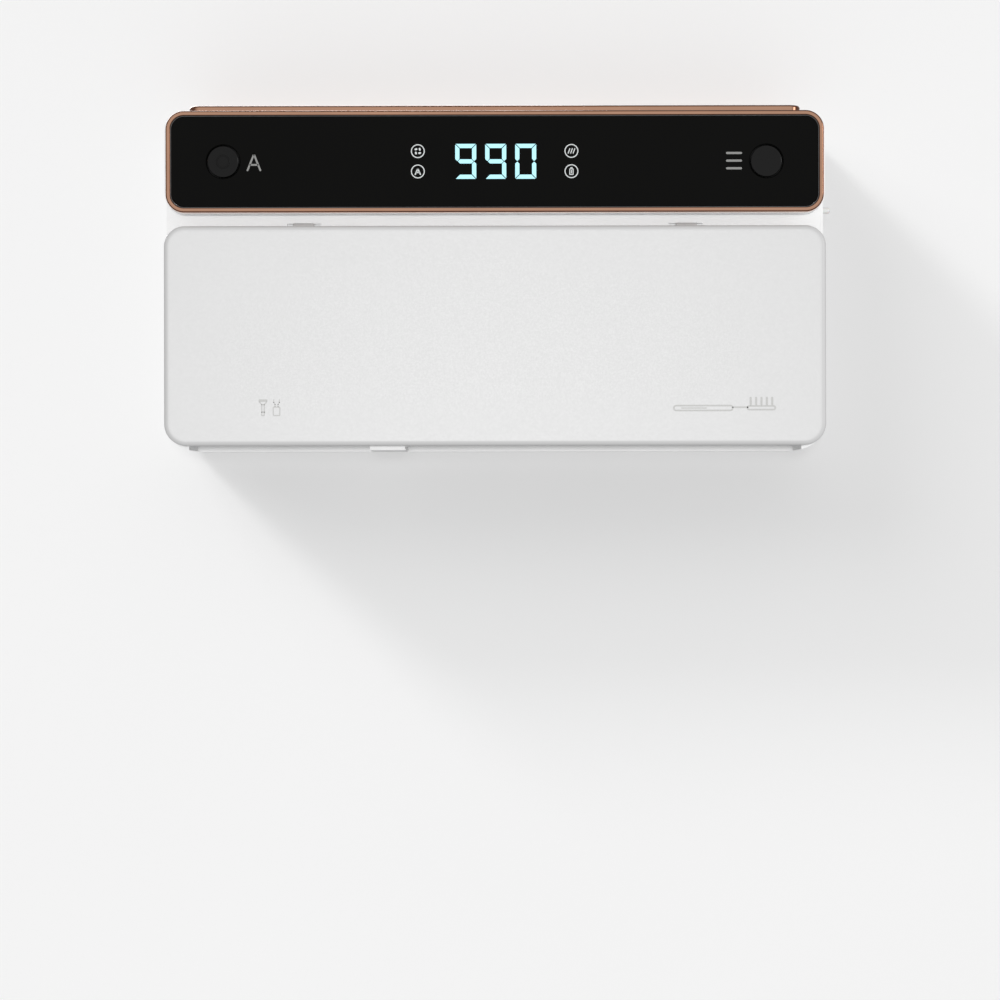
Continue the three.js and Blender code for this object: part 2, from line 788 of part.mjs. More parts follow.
/** Circuit board with a few chips on its rear side. */
function mainBoard() {
  const plate = box([-boardWidth / 2, boardWidth / 2], [boardBackY, boardFrontY],
    [panelZ - boardHeight / 2, panelZ + boardHeight / 2]);
  const chips = chipPlaces.map(([x, size]) => box([x - size / 2, x + size / 2],
    [boardBackY - fuse, boardBackY + chipHeight], [panelZ - size / 2, panelZ + size / 2]));
  return join(plate, ...chips);
}

function displayModule() {
  return box([-displayWidth / 2, displayWidth / 2], [boardFrontY - gap, glassBackY + gap],
    [panelZ - displayHeight / 2, panelZ + displayHeight / 2]);
}

/** Short round guide that carries an icon's light from the board to the glass. */
function iconGuide() {
  return bar('y', iconGuideR, boardFrontY - glassBackY - 2 * gap, [0, 0, 0]);
}

// ---------------------------------------------------------------- power

function batteryCell() {
  const cap = bar('x', cellCapR, cellLength, [cellCapLength, 0, 0], smallSides);
  return join(bar('x', cellR, cellLength, [0, 0, 0]), cap);
}

/** Cradle open upwards, round the lower part of a cell. */
function batteryHolder() {
  const block = box([-holderHalfLength, holderHalfLength], [-holderRadius, holderRadius],
    [-holderRadius, -holderBelowAxis]);
  return cut(block, bar('x', cellR + gap, cellLength + 2 * cellEndRoom, [0, 0, 0]));
}

/** Small sensor behind the strip that reads the cover's position. */
function lidSensor() {
  const y = railBackY + gap;
  const z = coverTopZ + notchRise + gap;
  return box([sensorX - sensorWidth / 2, sensorX + sensorWidth / 2], [y, y + sensorDepth],
    [ceilingZ + gap, z + sensorHeight]);
}

/** Metal shell open to the side wall. */
function chargingSocket() {
  const [halfY, halfZ] = [portHoleWidth / 2 - gap, portHoleHeight / 2 - gap];
  const shell = box([-socketLength, 0], [-halfY, halfY], [-halfZ, halfZ]);
  return cut(shell, box([-socketLength + socketFloor, clearCut], [-halfY + socketWall, halfY - socketWall],
    [-halfZ + socketWall, halfZ - socketWall]));
}

/** Soft plug: flange in the wall's seat, tongue in the socket, round pull tab outside. */
function portPlug() {
  const [halfY, halfZ] = [portHoleWidth / 2, portHoleHeight / 2];
  const flangeY = halfY + portRecessMargin - gap;
  const flangeZ = halfZ + portRecessMargin - gap;
  const flange = box([-portRecess + gap, 0], [-flangeY, flangeY], [-flangeZ, flangeZ]);
  const tongueReach = wall + socketLength / 2;
  const inset = 2 * gap + socketWall;
  const tongue = box([-tongueReach, -gap], [-halfY + inset, halfY - inset], [-halfZ + inset, halfZ - inset]);
  const tab = bar('x', plugTabR, plugTabLength, [plugTabLength / 2 - plugTabRoot, 0, 0], smallSides);
  return join(flange, tongue, tab);
}

// ---------------------------------------------------------------- top trim

/** Raised frame on the top face, with a pocket for the solar panel. */
function topTrim() {
  const y0 = frontY + trimFromFront;
  const shape = outline([-trimWidth / 2, trimWidth / 2], [y0, y0 + trimDepth], trimCorner);
  const geometry = new THREE.ExtrudeGeometry(shape, {
    depth: trimHeight - trimRound,
    curveSegments: roundSteps,
    bevelThickness: trimRound,
    bevelSize: trimRound,
    bevelOffset: -trimRound,
    bevelSegments: roundSteps,
  });
  const far = 2 * bodyWidth;
  const below = box([-far, far], [-far, far], [-far, 0]);
  const pocketX = trimWidth / 2 - trimBorder;
  const pocket = box([-pocketX, pocketX], [y0 + trimBorder, y0 + trimDepth - trimBorder],
    [trimHeight - trimPocket, trimHeight + clearCut]);
  return cut(solid(geometry), below, pocket);
}

function solarPanel() {
  const y0 = frontY + trimFromFront + trimBorder + gap;
  const y1 = frontY + trimFromFront + trimDepth - trimBorder - gap;
  const half = trimWidth / 2 - trimBorder - gap;
  return box([-half, half], [y0, y1], [0, solarThickness]);
}

// ---------------------------------------------------------------- flip cover

/** Shallow cover with two knuckles at its top edge and two magnet cups at its bottom corners. */
function frontCover() {
  const back = frontY + coverDepth;
  const inside = frontY + wall;
  const outer = slab(wideOutline(bodyWidth, [coverBottomZ, coverTopZ], coverTopCorner, coverBottomCorner),
    back, frontY, coverEdgeRound);
  const hollow = slab(wideOutline(bodyWidth - 2 * wall, [coverBottomZ + wall, coverTopZ - wall],
    coverTopCorner - wall, coverBottomCorner - wall), back + clearCut, inside);
  const knuckleGaps = [-hingeX, hingeX].map((x) => box([x - notchWidth / 2, x + notchWidth / 2],
    [inside, back + clearCut], [coverTopZ - wall - clearCut, coverTopZ + clearCut]));
  const knuckles = [-hingeX, hingeX].map((x) => bar('x', knuckleR, knuckleWidth, [x, pivotY, pivotZ],
    fineSides));
  const cups = coverMagnetPlaces().map(([x, z]) => bar('y', magnetR + magnetCupWall, back - inside + fuse,
    [x, (back + inside - fuse) / 2, z]));
  const seats = coverMagnetPlaces().map(([x, z]) => bar('y', magnetR + gap, 2 * (magnetThickness + gap),
    [x, back, z]));
  const pinBores = [-hingeX, hingeX].map((x) => bar('x', hingePinR + gap, 2 * knuckleWidth,
    [x, pivotY, pivotZ]));
  return cut(join(cut(outer, hollow, ...knuckleGaps), ...knuckles, ...cups), ...seats, ...pinBores);
}

function coverMagnetPlaces() {
  return [-1, 1].map((side) => [side * (bodyWidth / 2 - magnetInsetX), coverBottomZ + magnetRise]);
}

function magnet() {
  return bar('y', magnetR, magnetThickness, [0, 0, 0]);
}

function caseScrew() {
  const head = bar('y', screwHeadR, screwHeadHeight, [0, -screwHeadHeight / 2, 0]);
  const shank = bar('y', screwShankR, screwLength, [0, -screwLength / 2, 0], smallSides);
  const across = [-driveWidth / 2, driveWidth / 2];
  const along = [-driveLength / 2, driveLength / 2];
  const drive = box(across, [clearCut, -driveDepth], along);
  const crossDrive = box(along, [clearCut, -driveDepth], across);
  return cut(join(head, shank), drive, crossDrive);
}

// ---------------------------------------------------------------- assembly

const object = new THREE.Group();
const bracketGroup = new THREE.Group();
const housingGroup = new THREE.Group();
const panelGroup = new THREE.Group();
const powerGroup = new THREE.Group();
const coverGroup = new THREE.Group();
object.add(bracketGroup, housingGroup);
housingGroup.add(panelGroup, powerGroup, coverGroup);

bracketGroup.add(
  part('adhesive_pad', adhesivePad(), foam),
  part('wall_bracket', wallBracket(), steel));

housingGroup.add(
  part('rear_housing', rearHousing(), whitePlastic),
  part('bay_ceiling', bayCeiling(), whitePlastic),
  part('bay_divider', bayDivider(), whitePlastic),
  part('reflector_panel', reflectorPanel(), mirrorSheet),
  part('brush_rack', brushRack(), whitePlastic),
  part('razor_holder', razorHolder(), whitePlastic),
  part('air_grille', airGrille(), whitePlastic),
  part('heater_core', heaterCore(), aluminium),
  part('fan_housing', fanHousing(), darkPlastic),
  part('fan_rotor', fanRotor(), darkPlastic,
    [fanX, fanY, fanBottomZ() + (gap + fanThickness - fanPlateThickness) / 2]),
  part('brush_uv_board', uvBoard(brushUvSpan, brushLeds), board),
  part('razor_uv_board', uvBoard(razorUvSpan, razorLeds), board),
  part('brush_uv_window', uvWindow(brushUvSpan), clearPlastic),
  part('razor_uv_window', uvWindow(razorUvSpan), clearPlastic),
  part('top_trim', topTrim(), roseGold, [0, 0, topZ + gap]),
  part('solar_panel', solarPanel(), solarCell, [0, 0, topZ + trimHeight - trimPocket + 2 * gap]));

panelGroup.add(
  part('panel_frame', panelFrame(), whitePlastic),
  part('panel_bezel', panelBezel(), roseGold),
  part('panel_glass', panelGlass(), blackGlass),
  part('main_board', mainBoard(), board),
  part('display_module', displayModule(), darkPlastic));
for (const [name, side] of [['auto', -1], ['menu', 1]]) {
  panelGroup.add(
    part(`${name}_button`, pushButton(), buttonPlastic, [side * buttonX, buttonFaceY(), panelZ]),
    part(`${name}_switch`, tactSwitch(side * buttonX), darkPlastic));
}
const iconPlaces = { fan_icon: [-1, 1], auto_icon: [-1, -1], heat_icon: [1, 1], battery_icon: [1, -1] };
for (const [name, [side, row]] of Object.entries(iconPlaces)) {
  panelGroup.add(part(`${name}_guide`, iconGuide(), clearPlastic,
    [side * iconX, (boardFrontY + glassBackY) / 2, panelZ + row * iconSpacing / 2]));
}

for (const [name, side] of [['left', -1], ['right', 1]]) {
  const cellPlace = [side * cellX, cellY, cellZ];
  powerGroup.add(
    part(`battery_cell_${name}`, batteryCell(), cellWrap, cellPlace),
    part(`battery_holder_${name}`, batteryHolder(), darkPlastic, cellPlace));
}
powerGroup.add(
  part('lid_sensor', lidSensor(), darkPlastic),
  part('charging_socket', chargingSocket(), nickel, [innerHalfWidth - gap, portY, portZ]),
  part('port_plug', portPlug(), silicone, [housingWidth / 2, portY, portZ]));

coverGroup.add(part('front_cover', frontCover(), whitePlastic));
for (const [name, side] of [['left', -1], ['right', 1]]) {
  const magnetX = side * (bodyWidth / 2 - magnetInsetX);
  const magnetZ = coverBottomZ + magnetRise;
  coverGroup.add(
    part(`cover_magnet_${name}`, magnet(), nickel,
      [magnetX, frontY + coverDepth - magnetThickness / 2, magnetZ]),
    part(`hinge_pin_${name}`, bar('x', hingePinR, notchWidth - 2 * gap, [0, 0, 0], smallSides), steel,
      [side * hingeX, pivotY, pivotZ]));
  housingGroup.add(part(`housing_magnet_${name}`, magnet(), nickel,
    [magnetX, rimY + magnetThickness / 2 + gap, magnetZ]));
}
screwPlaces().forEach(([x, z], i) => {
  housingGroup.add(part(`case_screw_${i + 1}`, caseScrew(), steel, [x, backY - gap, z]));
});

export default object;
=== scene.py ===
"""Looks of a wall-hung toothbrush and razor sanitizer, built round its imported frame.

Every length is in metres in the frame's own axes: +Z up, +Y into the wall, the front faces -Y.
New pieces are outlines carried along profiles, worked out as whole numpy arrays.
"""

import json
import math

import bmesh
import bpy
import numpy as np
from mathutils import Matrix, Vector


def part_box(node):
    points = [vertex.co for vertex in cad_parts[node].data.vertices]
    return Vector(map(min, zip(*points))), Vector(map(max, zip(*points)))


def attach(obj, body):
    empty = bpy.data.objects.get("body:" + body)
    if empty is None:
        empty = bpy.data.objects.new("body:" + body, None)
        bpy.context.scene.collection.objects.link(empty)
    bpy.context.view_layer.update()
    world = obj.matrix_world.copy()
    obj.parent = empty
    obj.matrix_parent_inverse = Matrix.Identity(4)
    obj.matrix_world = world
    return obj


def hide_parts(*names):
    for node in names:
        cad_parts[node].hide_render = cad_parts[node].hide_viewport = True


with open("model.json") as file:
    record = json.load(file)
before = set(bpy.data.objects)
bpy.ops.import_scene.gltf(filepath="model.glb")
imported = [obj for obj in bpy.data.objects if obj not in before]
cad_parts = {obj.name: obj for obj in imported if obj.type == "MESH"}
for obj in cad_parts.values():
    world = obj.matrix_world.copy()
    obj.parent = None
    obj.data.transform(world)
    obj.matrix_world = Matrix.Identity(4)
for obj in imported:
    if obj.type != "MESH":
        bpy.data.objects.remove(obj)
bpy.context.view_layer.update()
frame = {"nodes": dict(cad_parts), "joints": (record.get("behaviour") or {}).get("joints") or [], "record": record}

bl_info = {
    "name": "Toothbrush Sanitizer",
    "version": (1, 0, 0),
    "blender": (4, 5, 0),
    "location": "View3D > Sidebar > Sanitizer",
    "description": "Builds the shells, panel, display, marks and finishes of a wall-hung sanitizer",
    "category": "Object",
}

MM = 0.001
FULL_TURN = 2 * math.pi
NODE_LOW = {name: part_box(name)[0] for name in frame["nodes"]}
NODE_HIGH = {name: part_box(name)[1] for name in frame["nodes"]}
BODY_OF = {node: body for body, nodes in frame["record"]["behaviour"]["bodies"].items() for node in nodes}
SLOT_OF = {row["node"]: row["material_slot"] for row in frame["record"]["subparts"]}
PIVOT = Vector(next(j["pos_m"] for j in frame["joints"] if j["name"] == "cover_hinge"))
FRONT_Y = NODE_LOW["front_cover"].y
PANEL_Z = (NODE_LOW["panel_bezel"].z + NODE_HIGH["panel_bezel"].z) / 2
GLASS_Y = NODE_LOW["panel_glass"].y
PRINT_HEIGHT = 0.04 * MM
GLOSSY_FRONT = ("bezel_ring", "top_trim_ring", "glass_pane", "auto_button_cap", "menu_button_cap")

MERGE_DISTANCE = 1e-7
HINGE_X = 65.4 * MM
NOTCH_HALF_WIDTH = 5.8 * MM
KNUCKLE_RADIUS, KNUCKLE_HALF_WIDTH = 3.8 * MM, 3.55 * MM
PIN_BORE_RADIUS = 1.3 * MM
COVER_ABOVE_PIVOT = 2.5 * MM
COVER_TOP_CORNER, COVER_BOTTOM_CORNER = 7 * MM, 7.5 * MM
MAGNET_CUP_WALL, MAGNET_ROOM = 1.2 * MM, 0.3 * MM
BEZEL_CORNER, GLASS_CORNER = 6.3 * MM, 4.5 * MM
BEZEL_INNER_ROUND, GLASS_CHAMFER = 0.35 * MM, 0.12 * MM
BUTTON_HOLE_RADIUS, BUTTON_RADIUS = 5.7 * MM, 5.3 * MM
TRIM_CORNER, TRIM_LEAST_CORNER = 4 * MM, 0.8 * MM
READOUT = ((-9.85 * MM, "9"), (0.35 * MM, "9"), (10.55 * MM, "0"))


# ---------------------------------------------------------------- outlines and surfaces


def rounded_rectangle(x0, x1, z0, z1, top, bottom=None, steps=12):
    """Closed outline of four quarter circles joined by straight sides.

    Returns its points and its outward unit normals, both as (n, 2) arrays. Corner k's points are
    centre + radius * (cos a, sin a), with a running over a quarter turn.
    """
    bottom = top if bottom is None else bottom
    radius = np.repeat([top, top, bottom, bottom], steps + 1)
    turn = np.concatenate([np.linspace(k, k + 1, steps + 1) for k in range(4)]) * math.pi / 2
    sign_x = np.repeat([1, -1, -1, 1], steps + 1)
    sign_z = np.repeat([1, 1, -1, -1], steps + 1)
    normal = np.stack([np.cos(turn), np.sin(turn)], 1)
    centre_x = np.where(sign_x > 0, x1 - radius, x0 + radius)
    centre_z = np.where(sign_z > 0, z1 - radius, z0 + radius)
    return np.stack([centre_x, centre_z], 1) + radius[:, None] * normal, normal


def circle(radius, steps=64, centre=(0, 0)):
    """Closed circle as points and outward normals."""
    turn = np.arange(steps) * FULL_TURN / steps
    normal = np.stack([np.cos(turn), np.sin(turn)], 1)
    return np.asarray(centre) + radius * normal, normal


def quarter(inset0, depth0, inset1, depth1, steps=6, inward_first=False):
    """Quarter ellipse between two (inset, depth) profile points, without its first point."""
    turn = np.linspace(0, math.pi / 2, steps + 1)[1:]
    slow, fast = (np.sin(turn), 1 - np.cos(turn)) if inward_first else (1 - np.cos(turn), np.sin(turn))
    return np.stack([inset0 + (inset1 - inset0) * slow, depth0 + (depth1 - depth0) * fast], 1)


def profile(*pieces):
    """One (n, 2) array of (inset, depth) points from single points and stretches."""
    return np.concatenate([np.atleast_2d(np.asarray(piece, float)) for piece in pieces])


def lofted(loops, depths, closed=False):
    """Surface through loops of points, each loop at its own depth.

    P(i, j) = (loop i's point j across, depth i, loop i's point j up). Open ends get flat caps.
    """
    rows, columns = len(loops), len(loops[0])
    plane = np.asarray(loops, float)
    depth = np.broadcast_to(np.asarray(depths, float)[:, None], (rows, columns))
    vertices = np.stack([plane[..., 0], depth, plane[..., 1]], -1).reshape(-1, 3)
    i, j = np.meshgrid(np.arange(rows if closed else rows - 1), np.arange(columns), indexing="ij")
    below, right = (i + 1) % rows, (j + 1) % columns
    quads = np.stack([i * columns + j, i * columns + right, below * columns + right, below * columns + j], -1)
    faces = quads.reshape(-1, 4).tolist()
    if not closed:
        faces.append(list(range(columns)))
        faces.append(list(range((rows - 1) * columns, rows * columns)))
    return vertices, faces


def carried(outline, profile_points, closed=False):
    """Surface of an outline carried along a profile of (inset, depth) points.

    Row i is the outline moved inwards: P(i, j) = outline(j) - inset(i) * normal(j), at depth(i).
    """
    points, normals = outline
    loops = points[None] - profile_points[:, 0, None, None] * normals[None]
    return lofted(loops, profile_points[:, 1], closed)


def joined(*surfaces):
    """Several (points, faces) surfaces as one."""
    vertices, faces, start = [], [], 0
    for points, polygons in surfaces:
        vertices.append(np.asarray(points, float))
        faces.extend([[index + start for index in polygon] for polygon in polygons])
        start += len(points)
    return np.concatenate(vertices), faces


def bar(outline, near, far, edge, axis="y", steps=4):
    """Solid bar: an outline carried from one depth to another, its two ends' edges rounded."""
    ends = profile(
        (edge, near),
        quarter(edge, near, 0, near + edge * np.sign(far - near), steps, inward_first=True),
        (0, far - edge * np.sign(far - near)),
        quarter(0, far - edge * np.sign(far - near), edge, far, steps),
    )
    points, faces = carried(outline, ends)
    order = {"y": (0, 1, 2), "x": (1, 0, 2), "z": (0, 2, 1)}[axis]
    return points[:, order], faces


def face_outwards(mesh, merge=False):
    """Turns a mesh's faces outwards, first merging the points that coincide if asked."""
    work = bmesh.new()
    work.from_mesh(mesh)
    if merge:
        bmesh.ops.remove_doubles(work, verts=work.verts, dist=MERGE_DISTANCE)
    bmesh.ops.recalc_face_normals(work, faces=work.faces)
    work.to_mesh(mesh)
    work.free()


def finish_mesh(name, surface, body, slot, node=None, angle=34, material=None):
    """Object of one surface, faces outwards, smooth but for edges sharper than the angle."""
    points, faces = surface
    mesh = bpy.data.meshes.new(name)
    mesh.from_pydata(points.tolist(), [], faces)
    mesh.update()
    face_outwards(mesh, merge=True)
    return finish_object(name, mesh, body, slot, node, angle, material)


def finish_object(name, mesh, body, slot, node=None, angle=34, material=None):
    """Links a mesh as a piece that rides a body, with a finish and the node it stands for.

    The finish is that of the slot unless another is given.
    """
    mesh.materials.clear()
    mesh.materials.append(material or material_for(slot))
    mesh.shade_smooth()
    mesh.set_sharp_from_angle(angle=math.radians(angle))
    piece = bpy.data.objects.new(name, mesh)
    bpy.context.scene.collection.objects.link(piece)
    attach(piece, body)
    if node is not None:
        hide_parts(node)
    return piece


def combined(surface, steps):
    """Surface with other closed surfaces joined to it or cut from it, in order, as a mesh."""
    objects = []
    for points, faces in (surface, *(step for _, step in steps)):
        mesh = bpy.data.meshes.new("work")
        mesh.from_pydata(np.asarray(points).tolist(), [], faces)
        face_outwards(mesh)
        objects.append(bpy.data.objects.new("work", mesh))
        bpy.context.scene.collection.objects.link(objects[-1])
    target = objects[0]
    for (operation, _), tool in zip(steps, objects[1:]):
        cut = target.modifiers.new("cut", "BOOLEAN")
        cut.operation = operation
        cut.solver = "EXACT"
        cut.object = tool
    bpy.context.view_layer.update()
    evaluated = target.evaluated_get(bpy.context.evaluated_depsgraph_get())
    result = bpy.data.meshes.new_from_object(evaluated)
    for item in objects:
        bpy.data.objects.remove(item)
    return result


def box_surface(x0, x1, y0, y1, z0, z1):
    """Six faces between two corners."""
    outline = np.array([(x0, z0), (x1, z0), (x1, z1), (x0, z1)], float), np.zeros((4, 2))
    return carried(outline, profile((0, y0), (0, y1)))


# ---------------------------------------------------------------- finishes


def colour(red, green, blue):
    """Linear colour of three display values from 0 to 255."""
    shares = np.array([red, green, blue], float) / 255
    return tuple(np.where(shares <= 0.04045, shares / 12.92, ((shares + 0.055) / 1.055) ** 2.4)) + (1.0,)


class Finish:
    """Node material under construction: one shader and the noise fields that vary it."""

    def __init__(self, name, base, rough, metal=0.0):
        self.material = bpy.data.materials.new(name)
        self.material.use_nodes = True
        self.tree = self.material.node_tree
        self.shader = self.tree.nodes["Principled BSDF"]
        self.place = self.add("ShaderNodeTexCoord").outputs["Object"]
        self.shader.inputs["Base Color"].default_value = base
        self.shader.inputs["Roughness"].default_value = rough
        self.shader.inputs["Metallic"].default_value = metal

    def add(self, kind, **values):
        node = self.tree.nodes.new(kind)
        for key, value in values.items():
            setattr(node, key, value)
        return node

    def link(self, source, target):
        self.tree.links.new(source, target)

    def stretched(self, x, y, z):
        """Object coordinates stretched by a factor on each axis."""
        node = self.add("ShaderNodeMapping")
        node.inputs["Scale"].default_value = (x, y, z)
        self.link(self.place, node.inputs["Vector"])
        return node.outputs["Vector"]

    def noise(self, size, detail=3.0, place=None):
        """Noise with features of about this size in metres."""
        node = self.add("ShaderNodeTexNoise")
        node.inputs["Scale"].default_value = 1 / size
        node.inputs["Detail"].default_value = detail
        self.link(self.place if place is None else place, node.inputs["Vector"])
        return node.outputs["Fac"]

    def between(self, source, low, high, start=0.3, end=0.7):
        """Field mapped from a share range onto a value range."""
        node = self.add("ShaderNodeMapRange")
        node.inputs["From Min"].default_value = start
        node.inputs["From Max"].default_value = end
        node.inputs["To Min"].default_value = low
        node.inputs["To Max"].default_value = high
        self.link(source, node.inputs["Value"])
        return node.outputs["Result"]

    def vary_colour(self, source, dark, light, start=0.3, end=0.7):
        """Base colour that runs between two colours with a field."""
        ramp = self.add("ShaderNodeValToRGB")
        ramp.color_ramp.elements[0].position = start
        ramp.color_ramp.elements[1].position = end
        ramp.color_ramp.elements[0].color = dark
        ramp.color_ramp.elements[1].color = light
        self.link(source, ramp.inputs["Fac"])
        self.link(ramp.outputs["Color"], self.shader.inputs["Base Color"])

    def vary_rough(self, source, low, high):
        self.link(self.between(source, low, high), self.shader.inputs["Roughness"])

    def bump(self, source, height, strength=1.0):
        """Relief of this height in metres."""
        last = self.shader.inputs["Normal"].links
        node = self.add("ShaderNodeBump")
        node.inputs["Strength"].default_value = strength
        node.inputs["Distance"].default_value = height
        self.link(source, node.inputs["Height"])
        if last:
            self.link(last[0].from_socket, node.inputs["Normal"])
        self.link(node.outputs["Normal"], self.shader.inputs["Normal"])

    def set(self, **values):
        for key, value in values.items():
            self.shader.inputs[key.replace("_", " ")].default_value = value


def tinted(base, factor):
    """Colour scaled by a factor."""
    return tuple(channel * factor for channel in base[:3]) + (1.0,)


def moulded(name, base, rough, grain=0.25 * MM, relief=0.004 * MM, mottle=0.004):
    """Moulded plastic: fine spark-eroded grain, slight mottling of colour and gloss."""
    finish = Finish(name, base, rough)
    finish.vary_colour(finish.noise(18 * MM, 4), tinted(base, 1 - mottle), tinted(base, 1 + mottle))
    finish.vary_rough(finish.noise(0.6 * MM, 4), rough - 0.03, rough + 0.03)
    finish.bump(finish.noise(grain, 2), relief)
    finish.bump(finish.noise(25 * MM, 0), 0.003 * MM)
    return finish


def white_cover(colours):
    """Satin white plastic under a thin clear coat."""
    finish = moulded("cover satin white", tuple(colours.cover) + (1.0,), 0.42)
    finish.set(Coat_Weight=0.12, Coat_Roughness=0.3)
    return finish.material


def white_housing(colours):
    """Satin white plastic."""
    finish = moulded("housing satin white", tuple(colours.housing) + (1.0,), 0.45)
    return finish.material


def white_panel_frame(colours):
    """Glossier white plastic under a thin clear coat."""
    finish = moulded("panel frame gloss white", tuple(colours.housing) + (1.0,), 0.25)
    finish.set(Coat_Weight=0.3, Coat_Roughness=0.1)
    return finish.material


def white_inner(colours):
    """Slightly darker white plastic of the inner parts, with a coarser grain."""
    finish = moulded("inner fine white", tinted(tuple(colours.housing), 0.95), 0.5, grain=0.4 * MM)
    return finish.material


def rose_gold(colours):
    """Plated metal with fine lengthwise lines and painted shade on its rounded edges.

    The painted shade is a ramp over the size of the object normal's Y share, standing in for dark
    reflections: plain where a face looks forwards or sideways, dark in between.
    """
    base = tuple(colours.trim) + (1.0,)
    finish = Finish("rose gold plating", base, 0.12, 1.0)
    turned = finish.add("ShaderNodeSeparateXYZ")
    finish.link(finish.place.node.outputs["Normal"], turned.inputs[0])
    facing = finish.add("ShaderNodeMath", operation="ABSOLUTE")
    finish.link(turned.outputs["Y"], facing.inputs[0])
    # Painted shade: rounded edges darkened by the surface's direction, in place of dark reflections there.
    edges = finish.add("ShaderNodeValToRGB")
    ramp = edges.color_ramp.elements
    ramp[0].position, ramp[0].color = 0.12, (1, 1, 1, 1)
    ramp[1].position, ramp[1].color = 0.99, (1, 1, 1, 1)
    for position in (0.4, 0.86):
        ramp.new(position).color = (0.22, 0.16, 0.14, 1)
    finish.link(facing.outputs[0], edges.inputs["Fac"])
    tone = finish.add("ShaderNodeMixRGB", blend_type="MULTIPLY")
    tone.inputs["Fac"].default_value = 1.0
    finish.vary_colour(finish.noise(25 * MM, 3), tinted(base, 0.93), tinted(base, 1.04))
    finish.link(finish.shader.inputs["Base Color"].links[0].from_socket, tone.inputs["Color1"])
    finish.link(edges.outputs["Color"], tone.inputs["Color2"])
    finish.link(tone.outputs["Color"], finish.shader.inputs["Base Color"])
    lines = finish.noise(0.35 * MM, 3, finish.stretched(0.03, 1, 1))
    finish.vary_rough(lines, 0.1, 0.15)
    finish.bump(lines, 0.0006 * MM)
    return finish.material


def black_glass(colours):
    """Back-painted glass: black under a clear coat with faint cloudiness in its polish."""
    base = tuple(colours.glass) + (1.0,)
    finish = Finish("black panel glass", base, 0.06)
    finish.vary_colour(finish.noise(60 * MM, 2), tinted(base, 0.94), tinted(base, 1.06))
    finish.set(Specular_IOR_Level=0.09)
    finish.vary_rough(finish.noise(15 * MM, 4), 0.04, 0.08)
    finish.bump(finish.noise(60 * MM, 0), 0.002 * MM)
    return finish.material


def button_black(colours):
    """Satin black plastic with a very fine grain."""
    base = tuple(colours.button) + (1.0,)
    finish = moulded("button satin black", base, 0.2, grain=0.2 * MM, relief=0.001 * MM, mottle=0.06)
    finish.set(Specular_IOR_Level=0.3)
    return finish.material


def lit_segments(colours):
    """Lit display segments, their light varying a little from place to place."""
    base = tuple(colours.display) + (1.0,)
    finish = Finish("display light", tinted(base, 0.2), 0.5)
    ramp = finish.add("ShaderNodeValToRGB")
    ramp.color_ramp.elements[0].color = tinted(base, 0.92)
    ramp.color_ramp.elements[1].color = base
    finish.link(finish.noise(1.2 * MM, 2), ramp.inputs["Fac"])
    finish.link(ramp.outputs["Color"], finish.shader.inputs["Emission Color"])
    finish.set(Emission_Strength=1.0)
    return finish.material


def printed(name, base, rough=0.5):
    """Screen-printed ink with a slightly uneven edge and tone."""
    finish = Finish(name, base, rough)
    finish.vary_colour(finish.noise(0.4 * MM, 3), tinted(base, 0.94), tinted(base, 1.05))
    finish.bump(finish.noise(0.15 * MM, 2), 0.003 * MM)
    return finish.material


def brushed(name, base, rough, along=(0.03, 1, 1)):
    """Rolled or brushed metal with lines along one axis."""
    finish = Finish(name, base, rough, 1.0)
    lines = finish.noise(0.3 * MM, 4, finish.stretched(*along))
    finish.vary_colour(lines, tinted(base, 0.96), tinted(base, 1.03))
    finish.vary_rough(lines, rough - 0.07, rough + 0.09)
    finish.bump(lines, 0.003 * MM)
    return finish.material


def circuit_board():
    """Lacquered board with tracks a shade lighter than the ground."""
    base = (0.015, 0.09, 0.045, 1.0)
    finish = Finish("circuit board lacquer", base, 0.4)
    tracks = finish.add("ShaderNodeTexVoronoi", feature="DISTANCE_TO_EDGE")
    tracks.inputs["Scale"].default_value = 1 / (3 * MM)
    finish.link(finish.place, tracks.inputs["Vector"])
    finish.vary_colour(tracks.outputs["Distance"], tinted(base, 1.8), base, 0.02, 0.06)
    finish.bump(finish.between(tracks.outputs["Distance"], 1, 0, 0.02, 0.08), 0.03 * MM)
    finish.vary_rough(finish.noise(2 * MM), 0.32, 0.46)
    return finish.material


def clear_window():
    """Clear plastic, faintly blue and wavy."""
    finish = Finish("clear window plastic", (0.86, 0.92, 0.95, 1.0), 0.12)
    finish.set(Transmission_Weight=0.85, IOR=1.46, Alpha=0.6)
    finish.vary_rough(finish.noise(4 * MM, 4), 0.08, 0.18)
    finish.bump(finish.noise(6 * MM, 2), 0.02 * MM)
    return finish.material


def soft_silicone():
    """White silicone that lets a little light into its surface."""
    finish = moulded("silicone white", (0.78, 0.78, 0.77, 1.0), 0.62, grain=0.3 * MM, mottle=0.02)
    finish.set(Subsurface_Weight=0.08, Subsurface_Scale=0.001)
    return finish.material


def foam_tape():
    """Closed-cell foam with open pores."""
    base = (0.62, 0.62, 0.60, 1.0)
    finish = Finish("adhesive foam", base, 0.85)
    cells = finish.add("ShaderNodeTexVoronoi")
    cells.inputs["Scale"].default_value = 1 / (0.7 * MM)
    finish.link(finish.place, cells.inputs["Vector"])
    finish.vary_colour(cells.outputs["Distance"], tinted(base, 1.05), tinted(base, 0.8), 0.2, 0.7)
    finish.bump(cells.outputs["Distance"], 0.12 * MM, 0.6)
    return finish.material


